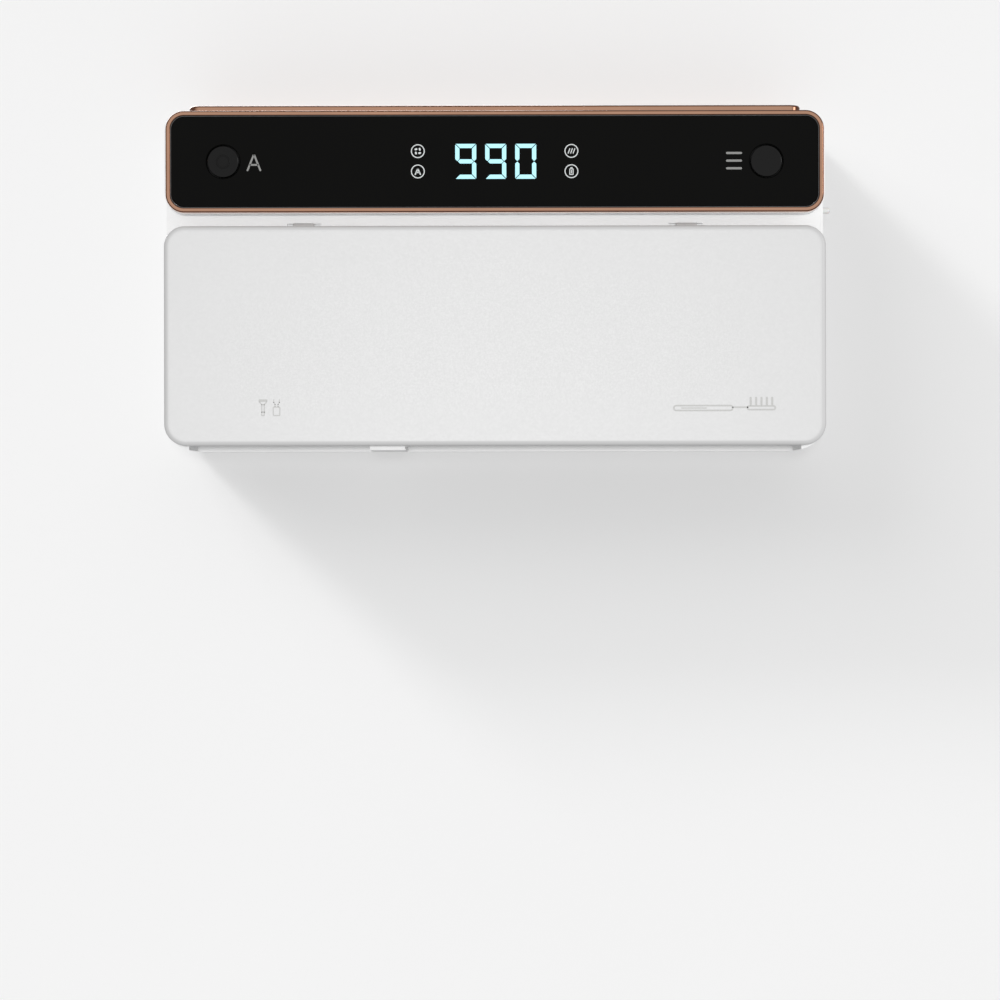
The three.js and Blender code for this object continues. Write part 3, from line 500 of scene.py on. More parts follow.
def solar_cells():
    """Dark coated cells under glass, in a row of upright strips with bright fingers."""
    base = (0.006, 0.009, 0.024, 1.0)
    finish = Finish("solar cell coating", base, 0.12)
    rows = finish.add("ShaderNodeTexBrick", offset=0.0, squash=1.0)
    rows.inputs["Color1"].default_value = base
    rows.inputs["Color2"].default_value = tinted(base, 1.5)
    rows.inputs["Mortar"].default_value = (0.25, 0.25, 0.27, 1.0)
    rows.inputs["Scale"].default_value = 1.0
    rows.inputs["Mortar Size"].default_value = 0.02
    rows.inputs["Brick Width"].default_value = 2.5
    rows.inputs["Row Height"].default_value = 7.2
    finish.link(finish.stretched(1000, 1000, 1000), rows.inputs["Vector"])
    finish.link(rows.outputs["Color"], finish.shader.inputs["Base Color"])
    finish.set(Coat_Weight=0.8, Coat_Roughness=0.04)
    finish.vary_rough(finish.noise(6 * MM), 0.1, 0.2)
    return finish.material


def cell_sleeve():
    """Blue shrink sleeve."""
    finish = moulded("cell shrink sleeve", (0.04, 0.15, 0.33, 1.0), 0.3, grain=0.5 * MM, mottle=0.05)
    return finish.material


def dark_moulded():
    """Near-black plastic."""
    return moulded("dark moulded plastic", (0.03, 0.03, 0.032, 1.0), 0.5, mottle=0.08).material


MAKERS = {
    "cover_white": white_cover,
    "white_plastic": white_housing,
    "panel_white": white_panel_frame,
    "inner_plastic": white_inner,
    "rose_gold": rose_gold,
    "black_glass": black_glass,
    "button_plastic": button_black,
    "display_light": lit_segments,
    "icon_print": lambda colours: printed("icon print", tuple(colours.icons) + (1.0,)),
    "symbol_grey": lambda colours: printed("cover symbol print", tuple(colours.symbols) + (1.0,)),
    "bracket_steel": lambda colours: brushed("bracket steel", (0.50, 0.51, 0.52, 1.0), 0.36),
    "pin_steel": lambda colours: brushed("pin steel", (0.58, 0.58, 0.59, 1.0), 0.28, (1, 0.1, 0.1)),
    "mirror_sheet": lambda colours: brushed("bright reflector sheet", (0.74, 0.75, 0.76, 1.0), 0.16),
    "heater_aluminium": lambda colours: brushed("heater aluminium", (0.62, 0.63, 0.64, 1.0), 0.35),
    "nickel": lambda colours: brushed("nickel plating", (0.63, 0.61, 0.57, 1.0), 0.2),
    "dark_plastic": lambda colours: dark_moulded(),
    "circuit_board": lambda colours: circuit_board(),
    "clear_plastic": lambda colours: clear_window(),
    "cell_wrap": lambda colours: cell_sleeve(),
    "silicone": lambda colours: soft_silicone(),
    "foam_pad": lambda colours: foam_tape(),
    "solar_cell": lambda colours: solar_cells(),
}
FINISHES = {}


def legend_print():
    """Ink of the marks beside the buttons."""
    return printed("panel legend print", tuple(bpy.context.scene.sanitizer_colours.legends) + (1.0,))


def material_for(slot):
    """The finish of a material slot, made once."""
    if slot not in FINISHES:
        FINISHES[slot] = MAKERS[slot](bpy.context.scene.sanitizer_colours)
    return FINISHES[slot]


# ---------------------------------------------------------------- settings


def colour_setting(name, text, value):
    """Setting for a colour."""
    return bpy.props.FloatVectorProperty(
        name=name, description=text, subtype="COLOR", size=3, min=0, max=1, default=value[:3])


def length_setting(name, text, value):
    """Setting for a length."""
    return bpy.props.FloatProperty(
        name=name, description=text, unit="LENGTH", min=0, precision=5, default=value)


class SanitizerColours(bpy.types.PropertyGroup):
    """Colours of the finishes that a user would change."""

    # Painted shade: the cover's white is set darker than the housing's, though both are one white plastic, to
    # offset the stronger light on the cover's open face.
    cover: colour_setting("Cover", "Front cover plastic", colour(210, 210, 210))
    # Painted light: the housing's white is set lighter, to offset the shade in the recessed strip between the
    # bezel and the cover; the panel frame and inner parts take it too.
    housing: colour_setting("Housing", "Rear housing plastic", colour(244, 244, 244))
    trim: colour_setting("Trim", "Plating on the bezel and the top trim", colour(238, 186, 156))
    glass: colour_setting("Glass", "Panel glass ground", colour(17, 17, 16))
    button: colour_setting("Buttons", "Button plastic", colour(25, 25, 25))
    display: colour_setting("Display", "Lit display segments", colour(178, 240, 250))
    icons: colour_setting("Icons", "Small marks on the glass", colour(214, 218, 218))
    legends: colour_setting("Legends", "Grey marks beside the buttons", colour(132, 132, 130))
    symbols: colour_setting("Symbols", "Grey marks on the cover", colour(196, 196, 194))


class SanitizerSizes(bpy.types.PropertyGroup):
    """Sizes of the shells, edges and marks that a user would change."""

    wall: length_setting("Wall", "Thickness of the cover's skin", 2.2 * MM)
    cover_depth: length_setting("Cover depth", "Depth of the cover's sides", 8.1 * MM)
    cover_round: length_setting("Cover edge", "Rounding round the cover's face", 1.6 * MM)
    bezel_lip: length_setting("Bezel lip", "Width of the plated lip", 1.6 * MM)
    bezel_round: length_setting("Bezel edge", "Rounding of the plated lip", 0.7 * MM)
    digit_height: length_setting("Digit height", "Height of a display digit", 11.9 * MM)
    digit_width: length_setting("Digit width", "Width of a display digit", 7.15 * MM)
    icon_radius: length_setting("Icon radius", "Outside of a round icon", 2.35 * MM)


# ---------------------------------------------------------------- flat marks


def stadium(start, end, width, steps=8):
    """Outline of a straight stroke with round ends: two half circles about its ends."""
    start, end = np.asarray(start, float), np.asarray(end, float)
    along = math.atan2(*(end - start)[::-1])
    turn = np.linspace(-math.pi / 2, math.pi / 2, steps + 1)
    turn = np.concatenate([turn + along, turn + along + math.pi])
    normal = np.stack([np.cos(turn), np.sin(turn)], 1)
    centre = np.repeat([end, start], steps + 1, axis=0)
    return centre + width / 2 * normal, normal


def polygon(points):
    """Outline of straight sides, with no inset."""
    points = np.asarray(points, float)
    return points, np.zeros_like(points)


def print_plate(outline, face):
    """Thin flat plate of an outline, from just behind a face to a print's height before it."""
    return carried(outline, profile((0, face + PRINT_HEIGHT), (0, face - PRINT_HEIGHT)))


def print_ring(centre, outside, width, face):
    """Thin flat band just inside a circle."""
    return print_loop(circle(outside, 48, centre), width, face)


def print_loop(outline, width, face):
    """Thin flat band just inside an outline, its four-sided section carried round."""
    section = profile((0, face + PRINT_HEIGHT), (0, face - PRINT_HEIGHT),
                      (width, face - PRINT_HEIGHT), (width, face + PRINT_HEIGHT))
    return carried(outline, section, closed=True)


def strokes(points, width, face):
    """Plates of the straight strokes between each point and the next."""
    return [print_plate(stadium(a, b, width), face) for a, b in zip(points[:-1], points[1:])]


def digit_plates(centre, wide, high, face, on):
    """Lit segments of one digit, mitred at 45 degrees where they meet.

    The right upright's outline runs down the outer edge, to a point at the digit's waist, and back
    up the inner edge; the other uprights are it mirrored. The top bar is a trapezium, mirrored
    below, and the middle bar is a long hexagon.
    """
    w, h, t, gap = wide / 2, high / 2, 0.12 * high, 0.016 * high
    upright = np.array([(w, h - gap), (w - t, h - t - gap), (w - t, t / 2 + gap / 2), (w - t / 2, gap / 2),
                        (w, t / 2 + gap / 2)])
    level = np.array([(-w + gap, h), (w - gap, h), (w - t - gap, h - t), (-w + t + gap, h - t)])
    reach, near = w - t / 2 - gap, w - t - gap
    middle = np.array([(-reach, 0), (-near, t / 2), (near, t / 2),
                       (reach, 0), (near, -t / 2), (-near, -t / 2)])
    shapes = {
        "top": level, "bottom": level * (1, -1), "middle": middle, "upper_right": upright,
        "upper_left": upright * (-1, 1), "lower_right": upright * (1, -1), "lower_left": upright * (-1, -1),
    }
    return [print_plate(polygon(shapes[name] + centre), face) for name in on]


DIGITS = {
    "0": ("top", "bottom", "upper_left", "upper_right", "lower_left", "lower_right"),
    "9": ("top", "middle", "bottom", "upper_left", "upper_right", "lower_right"),
}


def letter_a(centre, high, width, face):
    """Capital A in three strokes."""
    x, z = centre
    half, wide = high / 2 - width / 2, 0.36 * high
    legs = strokes([(x - wide, z - half), (x, z + half), (x + wide, z - half)], width, face)
    bar_z, bar_x = z - 0.32 * half, wide * 0.66 - width / 3
    return legs + strokes([(x - bar_x, bar_z), (x + bar_x, bar_z)], width, face)


def fan_blades(centre, reach, face, count=4):
    """Blades of a fan: each a short fat stroke on the circle of half the reach, turned askew."""
    turn = math.pi / 4 + np.arange(count) * FULL_TURN / count
    middle = 0.6 * reach * np.stack([np.cos(turn), np.sin(turn)], 1) + centre
    askew = 0.12 * reach * np.stack([np.cos(turn + 1.0), np.sin(turn + 1.0)], 1)
    return [print_plate(stadium(a, b, 0.42 * reach), face) for a, b in zip(middle - askew, middle + askew)]


# ---------------------------------------------------------------- pieces


def refined(node, edge, angle=34):
    """Copy of a node's own solid with its edges softened and its flat faces made whole."""
    work = bmesh.new()
    work.from_mesh(frame["nodes"][node].data)
    bmesh.ops.remove_doubles(work, verts=work.verts, dist=1e-6)
    bmesh.ops.dissolve_limit(work, angle_limit=math.radians(0.6), verts=work.verts, edges=work.edges)
    bmesh.ops.recalc_face_normals(work, faces=work.faces)
    mesh = bpy.data.meshes.new(node + "_form")
    work.to_mesh(mesh)
    work.free()
    if "custom_normal" in mesh.attributes:
        mesh.attributes.remove(mesh.attributes["custom_normal"])
    slot = SLOT_OF[node]
    piece = finish_object(node + "_form", mesh, BODY_OF[node], slot, node, angle)
    if edge:
        soften = piece.modifiers.new("softened edges", "BEVEL")
        soften.width = edge
        soften.segments = 2
        soften.limit_method = "ANGLE"
        soften.angle_limit = math.radians(40)
        soften.harden_normals = True
    return piece


def cover_outline():
    """The cover's outline from the front, and the height of its upper edge."""
    low, high = NODE_LOW["front_cover"], NODE_HIGH["front_cover"]
    top = PIVOT.z + COVER_ABOVE_PIVOT
    outline = rounded_rectangle(low.x, high.x, low.z, top, COVER_TOP_CORNER, COVER_BOTTOM_CORNER, 16)
    return outline, top


class SANITIZER_OT_front_cover(bpy.types.Operator):
    """Builds the hinged cover: a dished shell with rolled edges, hinge knuckles and magnet cups."""

    bl_idname = "sanitizer.front_cover"
    bl_label = "Front cover"

    def execute(self, context):
        sizes = context.scene.sanitizer_sizes
        outline, top = cover_outline()
        wall, edge, back = sizes.wall, sizes.cover_round, FRONT_Y + sizes.cover_depth
        inside = FRONT_Y + wall
        shell = carried(outline, profile(
            (wall + 4 * MM, inside), (wall + 0.8 * MM, inside),
            quarter(wall + 0.5 * MM, inside, wall, inside + 0.5 * MM),
            (wall, back - 0.25 * MM),
            quarter(wall, back - 0.25 * MM, wall - 0.25 * MM, back),
            (0.4 * MM, back),
            quarter(0.4 * MM, back, 0, back - 0.4 * MM, 4, inward_first=True),
            (0, FRONT_Y + edge),
            quarter(0, FRONT_Y + edge, edge, FRONT_Y, 10),
            (edge + 0.6 * MM, FRONT_Y), (edge + 3 * MM, FRONT_Y),
        ))
        steps = []
        bores = []
        axle = (PIVOT.y, PIVOT.z)
        for x in (-HINGE_X, HINGE_X):
            notch = box_surface(x - NOTCH_HALF_WIDTH, x + NOTCH_HALF_WIDTH, inside, back + 1 * MM,
                                top - wall - 1 * MM, top + 1 * MM)
            knuckle = bar(circle(KNUCKLE_RADIUS, 48, axle), x - KNUCKLE_HALF_WIDTH, x + KNUCKLE_HALF_WIDTH,
                          0.3 * MM, "x")
            steps += [("DIFFERENCE", notch), ("UNION", knuckle)]
            bores.append(bar(circle(PIN_BORE_RADIUS, 24, axle), x - 8 * MM, x + 8 * MM, 0.1 * MM, "x"))
        for side in ("left", "right"):
            low, high = NODE_LOW["cover_magnet_" + side], NODE_HIGH["cover_magnet_" + side]
            centre, radius = ((low.x + high.x) / 2, (low.z + high.z) / 2), (high.x - low.x) / 2
            cup = bar(circle(radius + MAGNET_CUP_WALL, 40, centre), inside - 0.5 * MM, back - 0.5 * MM,
                      0.2 * MM)
            steps.append(("UNION", cup))
            bores.append(bar(circle(radius + MAGNET_ROOM, 40, centre), low.y - MAGNET_ROOM, back + 2 * MM,
                             0.05 * MM))
        steps.extend(("DIFFERENCE", bore) for bore in bores)
        mesh = combined(shell, steps)
        slot = SLOT_OF["front_cover"]
        finish_object("cover_shell", mesh, "cover", slot, "front_cover")
        return {"FINISHED"}


class SANITIZER_OT_panel(bpy.types.Operator):
    """Builds the plated bezel, the black glass inside it and a dark ring in the gap between them."""

    bl_idname = "sanitizer.panel"
    bl_label = "Front panel"

    def execute(self, context):
        sizes = context.scene.sanitizer_sizes
        low, high = NODE_LOW["panel_bezel"], NODE_HIGH["panel_bezel"]
        lip, edge = sizes.bezel_lip, sizes.bezel_round
        ring = rounded_rectangle(low.x, high.x, low.z, high.z, BEZEL_CORNER, steps=16)
        section = profile(
            (0, high.y), (0, low.y + edge),
            quarter(0, low.y + edge, edge, low.y, 8),
            (lip - BEZEL_INNER_ROUND, low.y),
            quarter(lip - BEZEL_INNER_ROUND, low.y, lip, low.y + BEZEL_INNER_ROUND, 6, inward_first=True),
            (lip, high.y),
        )
        finish_mesh("bezel_ring", carried(ring, section, closed=True), "housing", "rose_gold", "panel_bezel")
        low, high = NODE_LOW["panel_glass"], NODE_HIGH["panel_glass"]
        near, far = lip + 0.04 * MM, lip + 0.26 * MM
        front, back = low.y + 0.2 * MM, high.y - 0.2 * MM
        # A dark ring fills the gap between the glass and the bezel, so that the gap looks dark.
        gap_ring = carried(ring, profile((near, back), (near, front), (far, front), (far, back)), closed=True)
        finish_mesh("glass_gap_ring", gap_ring, "housing", "dark_plastic")
        pane = carried(rounded_rectangle(low.x, high.x, low.z, high.z, GLASS_CORNER, steps=16), profile(
            (3 * MM, high.y), (0, high.y), (0, low.y + GLASS_CHAMFER),
            quarter(0, low.y + GLASS_CHAMFER, GLASS_CHAMFER, low.y, 4), (0.6 * MM, low.y), (3 * MM, low.y)))
        holes = []
        for node in ("auto_button", "menu_button"):
            centre = (NODE_LOW[node].x + NODE_HIGH[node].x) / 2
            hole = carried(circle(BUTTON_HOLE_RADIUS, 72, (centre, PANEL_Z)), profile(
                (0, high.y + 1 * MM), (0, low.y + 0.25 * MM),
                (-0.25 * MM, low.y), (-1.25 * MM, low.y - 1 * MM)))
            holes.append(("DIFFERENCE", hole))
        finish_object("glass_pane", combined(pane, holes), "housing", "black_glass", "panel_glass", 25)
        return {"FINISHED"}


def button_cap(node, ringed):
    """Turned button: stem, flange and a cap whose face is slightly dished, with a ring on one."""
    low, high = NODE_LOW[node], NODE_HIGH[node]
    centre = ((low.x + high.x) / 2, (low.z + high.z) / 2)
    face = low.y
    flange_front, flange_back = face + 3.3 * MM, face + 4.1 * MM
    rim = 0.45 * MM
    points = [
        (4.1 * MM, high.y), (4.1 * MM, flange_back), (-1.1 * MM, flange_back), (-1.1 * MM, flange_front),
        (0, flange_front), (0, face + rim), quarter(0, face + rim, rim, face, 8),
        (rim + 0.25 * MM, face), (rim + 0.5 * MM, face + 0.08 * MM), (rim + 1.2 * MM, face + 0.14 * MM),
    ]
    if ringed:
        points += [(2.95 * MM, face + 0.16 * MM), (3.05 * MM, face + 0.02 * MM), (3.2 * MM, face + 0.0 * MM),
                   (3.35 * MM, face + 0.02 * MM), (3.45 * MM, face + 0.16 * MM)]
    points += [(4.6 * MM, face + 0.17 * MM), (5.1 * MM, face + 0.17 * MM)]
    surface = carried(circle(BUTTON_RADIUS, 80, centre), profile(*points))
    slot = SLOT_OF[node]
    finish_mesh(node + "_cap", surface, BODY_OF[node], slot, node, 30)


class SANITIZER_OT_buttons(bpy.types.Operator):
    """Builds the two push buttons."""

    bl_idname = "sanitizer.buttons"
    bl_label = "Buttons"

    def execute(self, context):
        button_cap("auto_button", True)
        button_cap("menu_button", False)
        return {"FINISHED"}


class SANITIZER_OT_marks(bpy.types.Operator):
    """Prints the marks on the glass and the cover, and lights the display's digits."""

    bl_idname = "sanitizer.marks"
    bl_label = "Display and marks"

    def execute(self, context):
        sizes = context.scene.sanitizer_sizes
        face = GLASS_Y
        lit = []
        for x, digit in READOUT:
            lit += digit_plates((x, PANEL_Z), sizes.digit_width, sizes.digit_height, face, DIGITS[digit])
        finish_mesh("display_digits", joined(*lit), "housing", "display_light")

        radius, line = sizes.icon_radius, 0.33 * MM
        left, right, upper, lower = -26.15 * MM, 26.1 * MM, PANEL_Z + 3.5 * MM, PANEL_Z - 3.4 * MM
        icons = [print_ring((x, z), radius, line, face) for x in (left, right) for z in (upper, lower)]
        icons += fan_blades((left, upper), radius * 0.64, face)
        icons += letter_a((left, lower), radius * 1.02, 0.46 * MM, face)
        for step in (-1, 0, 1):
            x = right + step * 0.85 * MM
            wave = [(x - 0.25 * MM, upper - 0.75 * MM), (x + 0.3 * MM, upper + 0.75 * MM)]
            icons += strokes(wave, line, face)
        body = rounded_rectangle(right - 0.72 * MM, right + 0.72 * MM, lower - 1.25 * MM, lower + 0.95 * MM,
                                 0.2 * MM, steps=5)
        cap, thin = lower + 1.2 * MM, 0.3 * MM
        icons += [print_loop(body, thin, face)]
        icons += strokes([(right - 0.25 * MM, cap), (right + 0.25 * MM, cap)], thin, face)
        icons += strokes([(right, lower - 0.6 * MM), (right, lower + 0.3 * MM)], thin, face)
        finish_mesh("panel_icons", joined(*icons), "housing", "icon_print")

        symbols = letter_a((-81.9 * MM, PANEL_Z - 0.2 * MM), 6.05 * MM, 0.62 * MM, face)
        for step in (-1, 0, 1):
            z = PANEL_Z + 0.1 * MM + step * 2.6 * MM
            symbols += strokes([(79.05 * MM, z), (83.75 * MM, z)], 0.75 * MM, face)
        finish_mesh("panel_symbols", joined(*symbols), "housing", "symbol_grey", material=legend_print())

        finish_mesh("cover_symbols", joined(*cover_marks(FRONT_Y)), "cover", "symbol_grey")
        return {"FINISHED"}


def cover_marks(face):
    """Small outline drawings of a razor, a trimmer and a toothbrush near the cover's lower edge."""
    line, z = 0.36 * MM, -73.0 * MM
    razor_x, trimmer_x, brush_x = -78.9 * MM, -74.3 * MM, 78 * MM
    head = rounded_rectangle(razor_x - 1.5 * MM, razor_x + 1.5 * MM, z + 2.0 * MM, z + 2.85 * MM,
                             0.2 * MM, steps=5)
    marks = [print_plate(head, face)]
    for side in (-1, 1):
        shoulder = [(razor_x + side * 1.2 * MM, z + 1.9 * MM), (razor_x + side * 0.45 * MM, z + 1.1 * MM)]
        marks += strokes(shoulder, line, face)
    grip = rounded_rectangle(razor_x - 0.6 * MM, razor_x + 0.6 * MM, z - 2.85 * MM, z + 1.2 * MM,
                             0.35 * MM, steps=5)
    marks += [print_loop(grip, line, face)]
    marks += strokes([(razor_x - 0.4 * MM, z - 1.5 * MM), (razor_x + 0.4 * MM, z - 1.5 * MM)], line, face)
    case = rounded_rectangle(trimmer_x - 1.3 * MM, trimmer_x + 1.3 * MM, z - 2.85 * MM, z + 0.4 * MM,
                             0.4 * MM, steps=6)
    marks += [print_loop(case, line, face)]
    for side in (-1, 1):
        near, wide = trimmer_x + side * 0.5 * MM, trimmer_x + side * 0.95 * MM
        prong = [(near, z + 0.4 * MM), (near, z + 1.1 * MM), (wide, z + 1.8 * MM), (wide, z + 2.7 * MM)]
        marks += strokes(prong, 0.3 * MM, face)
    marks += brush_drawing(brush_x, z, face)
    return marks


def brush_drawing(x, z, face):
    """Outline of a toothbrush lying on its back: a long grip, a slim neck and a head with tufts."""
    line = 0.55 * MM
    grip = rounded_rectangle(x - 17.5 * MM, x + 3 * MM, z - 1.45 * MM, z + 0.75 * MM, 1.05 * MM, steps=10)
    head = rounded_rectangle(x + 7.6 * MM, x + 17.5 * MM, z - 1.2 * MM, z + 0.6 * MM, 0.85 * MM, steps=10)
    marks = [print_loop(grip, line, face), print_loop(head, line, face)]
    marks += strokes([(x + 2.9 * MM, z - 0.1 * MM), (x + 7.8 * MM, z - 0.1 * MM)], line, face)
    marks += strokes([(x - 14.6 * MM, z - 0.35 * MM), (x - 6.2 * MM, z - 0.35 * MM)], 0.4 * MM, face)
    for tuft in np.linspace(8.9, 16.2, 5) * MM:
        marks += strokes([(x + tuft, z + 0.9 * MM), (x + tuft, z + 3.1 * MM)], line * 1.3, face)
    return marks


class SANITIZER_OT_side_plug(bpy.types.Operator):
    """Builds the soft plug in the charging port: a flange, a tongue and a round-ended tab."""

    bl_idname = "sanitizer.side_plug"
    bl_label = "Port plug"

    def execute(self, context):
        low, high = NODE_LOW["port_plug"], NODE_HIGH["port_plug"]
        middle = ((low.y + high.y) / 2, (low.z + high.z) / 2)
        face_x = high.x - 3.3 * MM
        flange = rounded_rectangle(low.y, high.y, low.z, high.z, 1.2 * MM, steps=8)
        half_y, half_z = (high.y - low.y) / 2 - 2.4 * MM, (high.z - low.z) / 2 - 2.4 * MM
        half_z = max(half_z, 0.5 * MM)
        tongue = rounded_rectangle(middle[0] - half_y, middle[0] + half_y,
                                   middle[1] - half_z, middle[1] + half_z, 0.3 * MM, steps=5)
        parts = [
            bar(flange, face_x - 0.6 * MM, face_x, 0.2 * MM, "x"),
            bar(tongue, low.x, face_x - 0.5 * MM, 0.2 * MM, "x"),
            bar(circle(1.05 * MM, 40, middle), face_x - 0.3 * MM, high.x, 0.8 * MM, "x"),
        ]
        finish_mesh("port_plug_form", joined(*parts), "plug", "silicone", "port_plug")
        return {"FINISHED"}


class SANITIZER_OT_top_trim(bpy.types.Operator):
    """Builds the plated trim on top, open round the solar panel."""

    bl_idname = "sanitizer.top_trim"
    bl_label = "Top trim"

    def execute(self, context):
        low, high = NODE_LOW["top_trim"], NODE_HIGH["top_trim"]
        border, pocket, edge = 5 * MM, 2.2 * MM, 0.8 * MM
        rim = profile(
            (border + 2 * MM, low.z), (0, low.z), (0, high.z - edge),
            quarter(0, high.z - edge, edge, high.z, 8),
            (border - 0.3 * MM, high.z),
            quarter(border - 0.3 * MM, high.z, border, high.z - 0.3 * MM, 4, True),
            (border, high.z - pocket), (border + 2 * MM, high.z - pocket))
        loops = [rounded_rectangle(low.x + inset, high.x - inset, low.y + inset, high.y - inset,
                                   max(TRIM_CORNER - inset, TRIM_LEAST_CORNER), steps=14)[0]
                 for inset in rim[:, 0]]
        points, faces = lofted(loops, rim[:, 1])
        points = points[:, (0, 2, 1)]
        finish_mesh("top_trim_ring", (points, faces), "housing", "rose_gold", "top_trim")
        return {"FINISHED"}


SOFTENED = {
    "rear_housing": 0.25, "panel_frame": 0.15, "wall_bracket": 0.2, "bay_divider": 0.3, "brush_rack": 0.3,
    "razor_holder": 0.3, "bay_ceiling": 0.2, "air_grille": 0.15, "fan_rotor": 0.1,
    "fan_housing": 0.2, "charging_socket": 0.1, "case_screw_1": 0.1, "case_screw_2": 0.1,
    "case_screw_3": 0.1, "case_screw_4": 0.1, "hinge_pin_left": 0.1, "hinge_pin_right": 0.1,
    "cover_magnet_left": 0.15, "cover_magnet_right": 0.15, "housing_magnet_left": 0.15,
    "housing_magnet_right": 0.15, "solar_panel": 0.15, "reflector_panel": 0.1, "adhesive_pad": 0.1,
    "brush_uv_window": 0.1, "razor_uv_window": 0.1, "battery_cell_left": 0.3, "battery_cell_right": 0.3,
}


class SANITIZER_OT_moulded_parts(bpy.types.Operator):
    """Softens the edges of the housing, bracket, rack, holder, fan and the other framed parts."""

    bl_idname = "sanitizer.moulded_parts"
    bl_label = "Moulded and pressed parts"

    def execute(self, context):
        for node, edge in SOFTENED.items():
            refined(node, edge * MM)
        return {"FINISHED"}


class SANITIZER_OT_inner_finishes(bpy.types.Operator):
    """Gives every framed part that keeps its own form the finish of its material."""

    bl_idname = "sanitizer.inner_finishes"
    bl_label = "Inner finishes"

    def execute(self, context):
        for node, piece in frame["nodes"].items():
            if not piece.hide_render:
                piece.data.materials.clear()
                piece.data.materials.append(material_for(SLOT_OF[node]))
        return {"FINISHED"}


# ---------------------------------------------------------------- stage


def sheet_object(name, corners, material):
    """Flat four-cornered sheet of the stage."""
    mesh = bpy.data.meshes.new(name)
    mesh.from_pydata(corners, [], [[0, 1, 2, 3]])
    mesh.materials.append(material)
    piece = bpy.data.objects.new(name, mesh)
    bpy.context.scene.collection.objects.link(piece)
    return piece


def painted(name, base):
    """Matt paint with a faint roller texture, clear from behind."""
    finish = Finish(name, base, 0.9)
    finish.vary_colour(finish.noise(0.2, 2), tinted(base, 0.995), tinted(base, 1.005))
    finish.bump(finish.noise(4 * MM, 2), 0.02 * MM)
    finish.set(Specular_IOR_Level=0.1)
    clear = finish.add("ShaderNodeBsdfTransparent")
    side = finish.add("ShaderNodeNewGeometry")
    mix = finish.add("ShaderNodeMixShader")
    finish.link(side.outputs["Backfacing"], mix.inputs[0])
    finish.link(finish.shader.outputs[0], mix.inputs[1])
    finish.link(clear.outputs[0], mix.inputs[2])
    finish.link(mix.outputs[0], finish.tree.nodes["Material Output"].inputs["Surface"])
    return finish.material


def gathered(name, pieces):
    """Collection of pieces for a light to shine on or leave out."""
    group = bpy.data.collections.new(name)
    for piece in pieces:
        group.objects.link(piece)
    return group


def sun_light(name, direction, strength, spread, lit):
    """Parallel light along a direction, softened by its spread in degrees, on a group of pieces."""
    lamp = bpy.data.lights.new(name, "SUN")
    lamp.energy, lamp.angle = strength, math.radians(spread)
    holder = bpy.data.objects.new(name, lamp)
    holder.rotation_euler = Vector(direction).to_track_quat("-Z", "Y").to_euler()
    holder.light_linking.receiver_collection = lit
    bpy.context.scene.collection.objects.link(holder)
    return holder


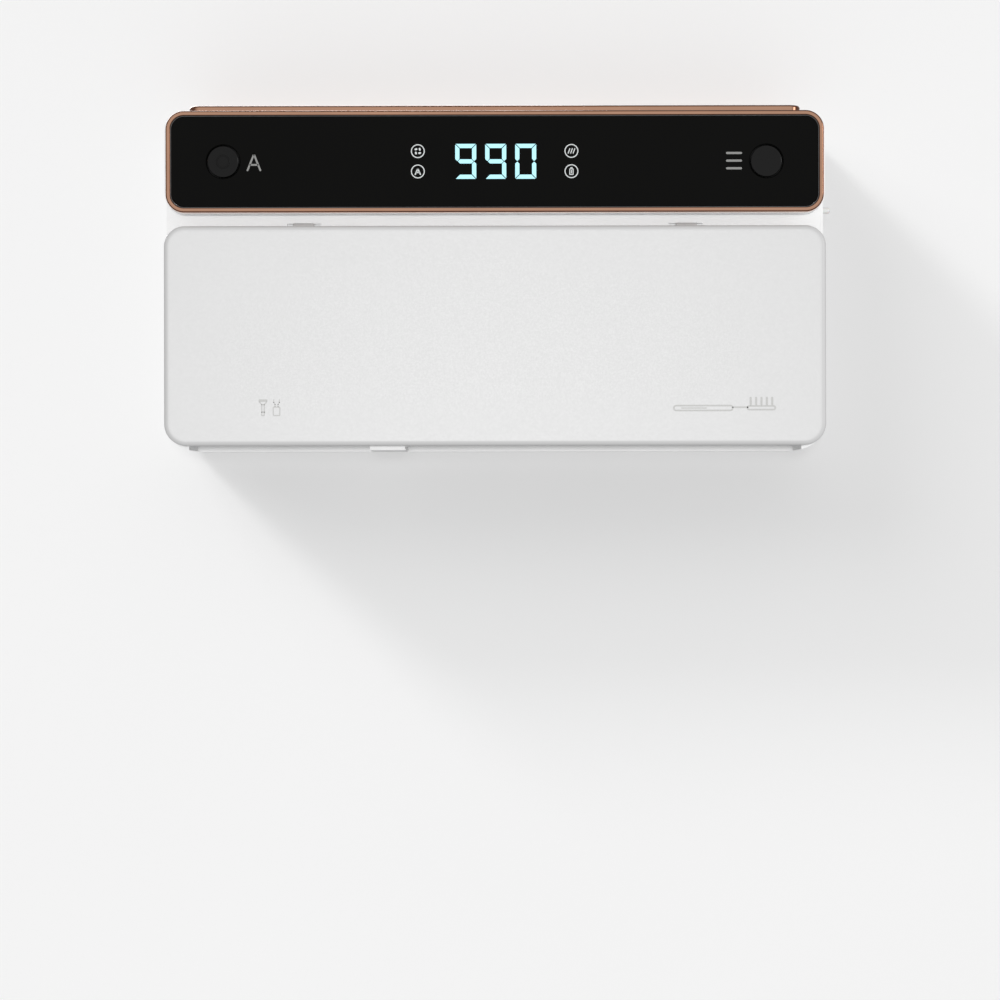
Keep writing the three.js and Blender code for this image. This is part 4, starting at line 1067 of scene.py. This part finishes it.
class SANITIZER_OT_stage(bpy.types.Operator):
    """Sets the pale wall and floor, the soft studio lights and the camera."""

    bl_idname = "sanitizer.stage"
    bl_label = "Stage"

    def execute(self, context):
        scene = context.scene
        paint = painted("wall paint", colour(247, 247, 247))
        wall_y, reach, floor_z = 0.3 * MM, 1.6, -0.45
        wall = sheet_object("backdrop_wall", [(-reach, wall_y, floor_z), (reach, wall_y, floor_z),
                                              (reach, wall_y, 1.2), (-reach, wall_y, 1.2)], paint)
        floor = sheet_object("floor", [(-reach, -2.4, floor_z), (reach, -2.4, floor_z),
                                       (reach, 1.2, floor_z), (-reach, 1.2, floor_z)],
                             painted("floor paint", colour(246, 246, 246)))
        for sheet in (wall, floor):
            sheet.visible_shadow = sheet.visible_diffuse = False
            sheet.visible_glossy = sheet.visible_transmission = False
        world = bpy.data.worlds.new("pale room")
        world.use_nodes = True
        world.node_tree.nodes["Background"].inputs["Color"].default_value = (1.0, 1.0, 1.0, 1.0)
        world.node_tree.nodes["Background"].inputs["Strength"].default_value = 0.5
        scene.world = world
        glossy = [bpy.data.objects[name] for name in GLOSSY_FRONT]
        room = gathered("room", (wall, floor))
        rest = gathered("all but the room", (wall, floor))
        matt = gathered("all but the room and the glossy front", (wall, floor, *glossy))
        for link in (*rest.collection_objects, *matt.collection_objects):
            link.light_linking.link_state = "EXCLUDE"
        for light in (
            ("long key on the room", (1, 0.44, -0.97), 1.0, 11, room),
            ("soft key on the room", (1, 0.85, -1), 0.6, 36, room),
            ("front light on the room", (0, 1, -0.03), 0.87, 12, room),
            ("front light", (0, 1, -0.01), 1.3, 5, matt),
            ("right light", (-1, 0.5, -0.2), 0.5, 20, rest),
            ("back light", (0.25, -1, -0.45), 1.3, 30, rest),
        ):
            sun_light(*light)

        camera = bpy.data.cameras.new("front camera")
        camera.lens, camera.sensor_width = 105.9, 36
        camera.clip_start, camera.clip_end = 0.01, 20
        viewer = bpy.data.objects.new("front camera", camera)
        viewer.location = (1.6 * MM, -1.046, -104.5 * MM)
        viewer.rotation_euler = (math.pi / 2, math.radians(0.1), 0)
        scene.collection.objects.link(viewer)
        scene.camera = viewer
        scene.view_settings.view_transform = "Standard"
        return {"FINISHED"}


class SANITIZER_PT_panel(bpy.types.Panel):
    """Lists the sizes, the colours and the pieces in the order they are built."""

    bl_idname = "SANITIZER_PT_panel"
    bl_label = "Toothbrush Sanitizer"
    bl_space_type = "VIEW_3D"
    bl_region_type = "UI"
    bl_category = "Sanitizer"

    def draw(self, context):
        for group in (context.scene.sanitizer_sizes, context.scene.sanitizer_colours):
            column = self.layout.column()
            for setting in group.__annotations__:
                column.prop(group, setting)
        for operator in OPERATORS:
            self.layout.operator(operator.bl_idname)


OPERATORS = (
    SANITIZER_OT_front_cover,
    SANITIZER_OT_panel,
    SANITIZER_OT_buttons,
    SANITIZER_OT_marks,
    SANITIZER_OT_top_trim,
    SANITIZER_OT_side_plug,
    SANITIZER_OT_moulded_parts,
    SANITIZER_OT_inner_finishes,
    SANITIZER_OT_stage,
)
CLASSES = (SanitizerColours, SanitizerSizes, *OPERATORS, SANITIZER_PT_panel)


def register():
    for item in CLASSES:
        bpy.utils.register_class(item)
    bpy.types.Scene.sanitizer_colours = bpy.props.PointerProperty(type=SanitizerColours)
    bpy.types.Scene.sanitizer_sizes = bpy.props.PointerProperty(type=SanitizerSizes)


def unregister():
    del bpy.types.Scene.sanitizer_sizes
    del bpy.types.Scene.sanitizer_colours
    for item in reversed(CLASSES):
        bpy.utils.unregister_class(item)


def main():
    register()
    for operator in OPERATORS:
        group, name = operator.bl_idname.split(".")
        getattr(getattr(bpy.ops, group), name)()


if __name__ == "__main__":
    main()
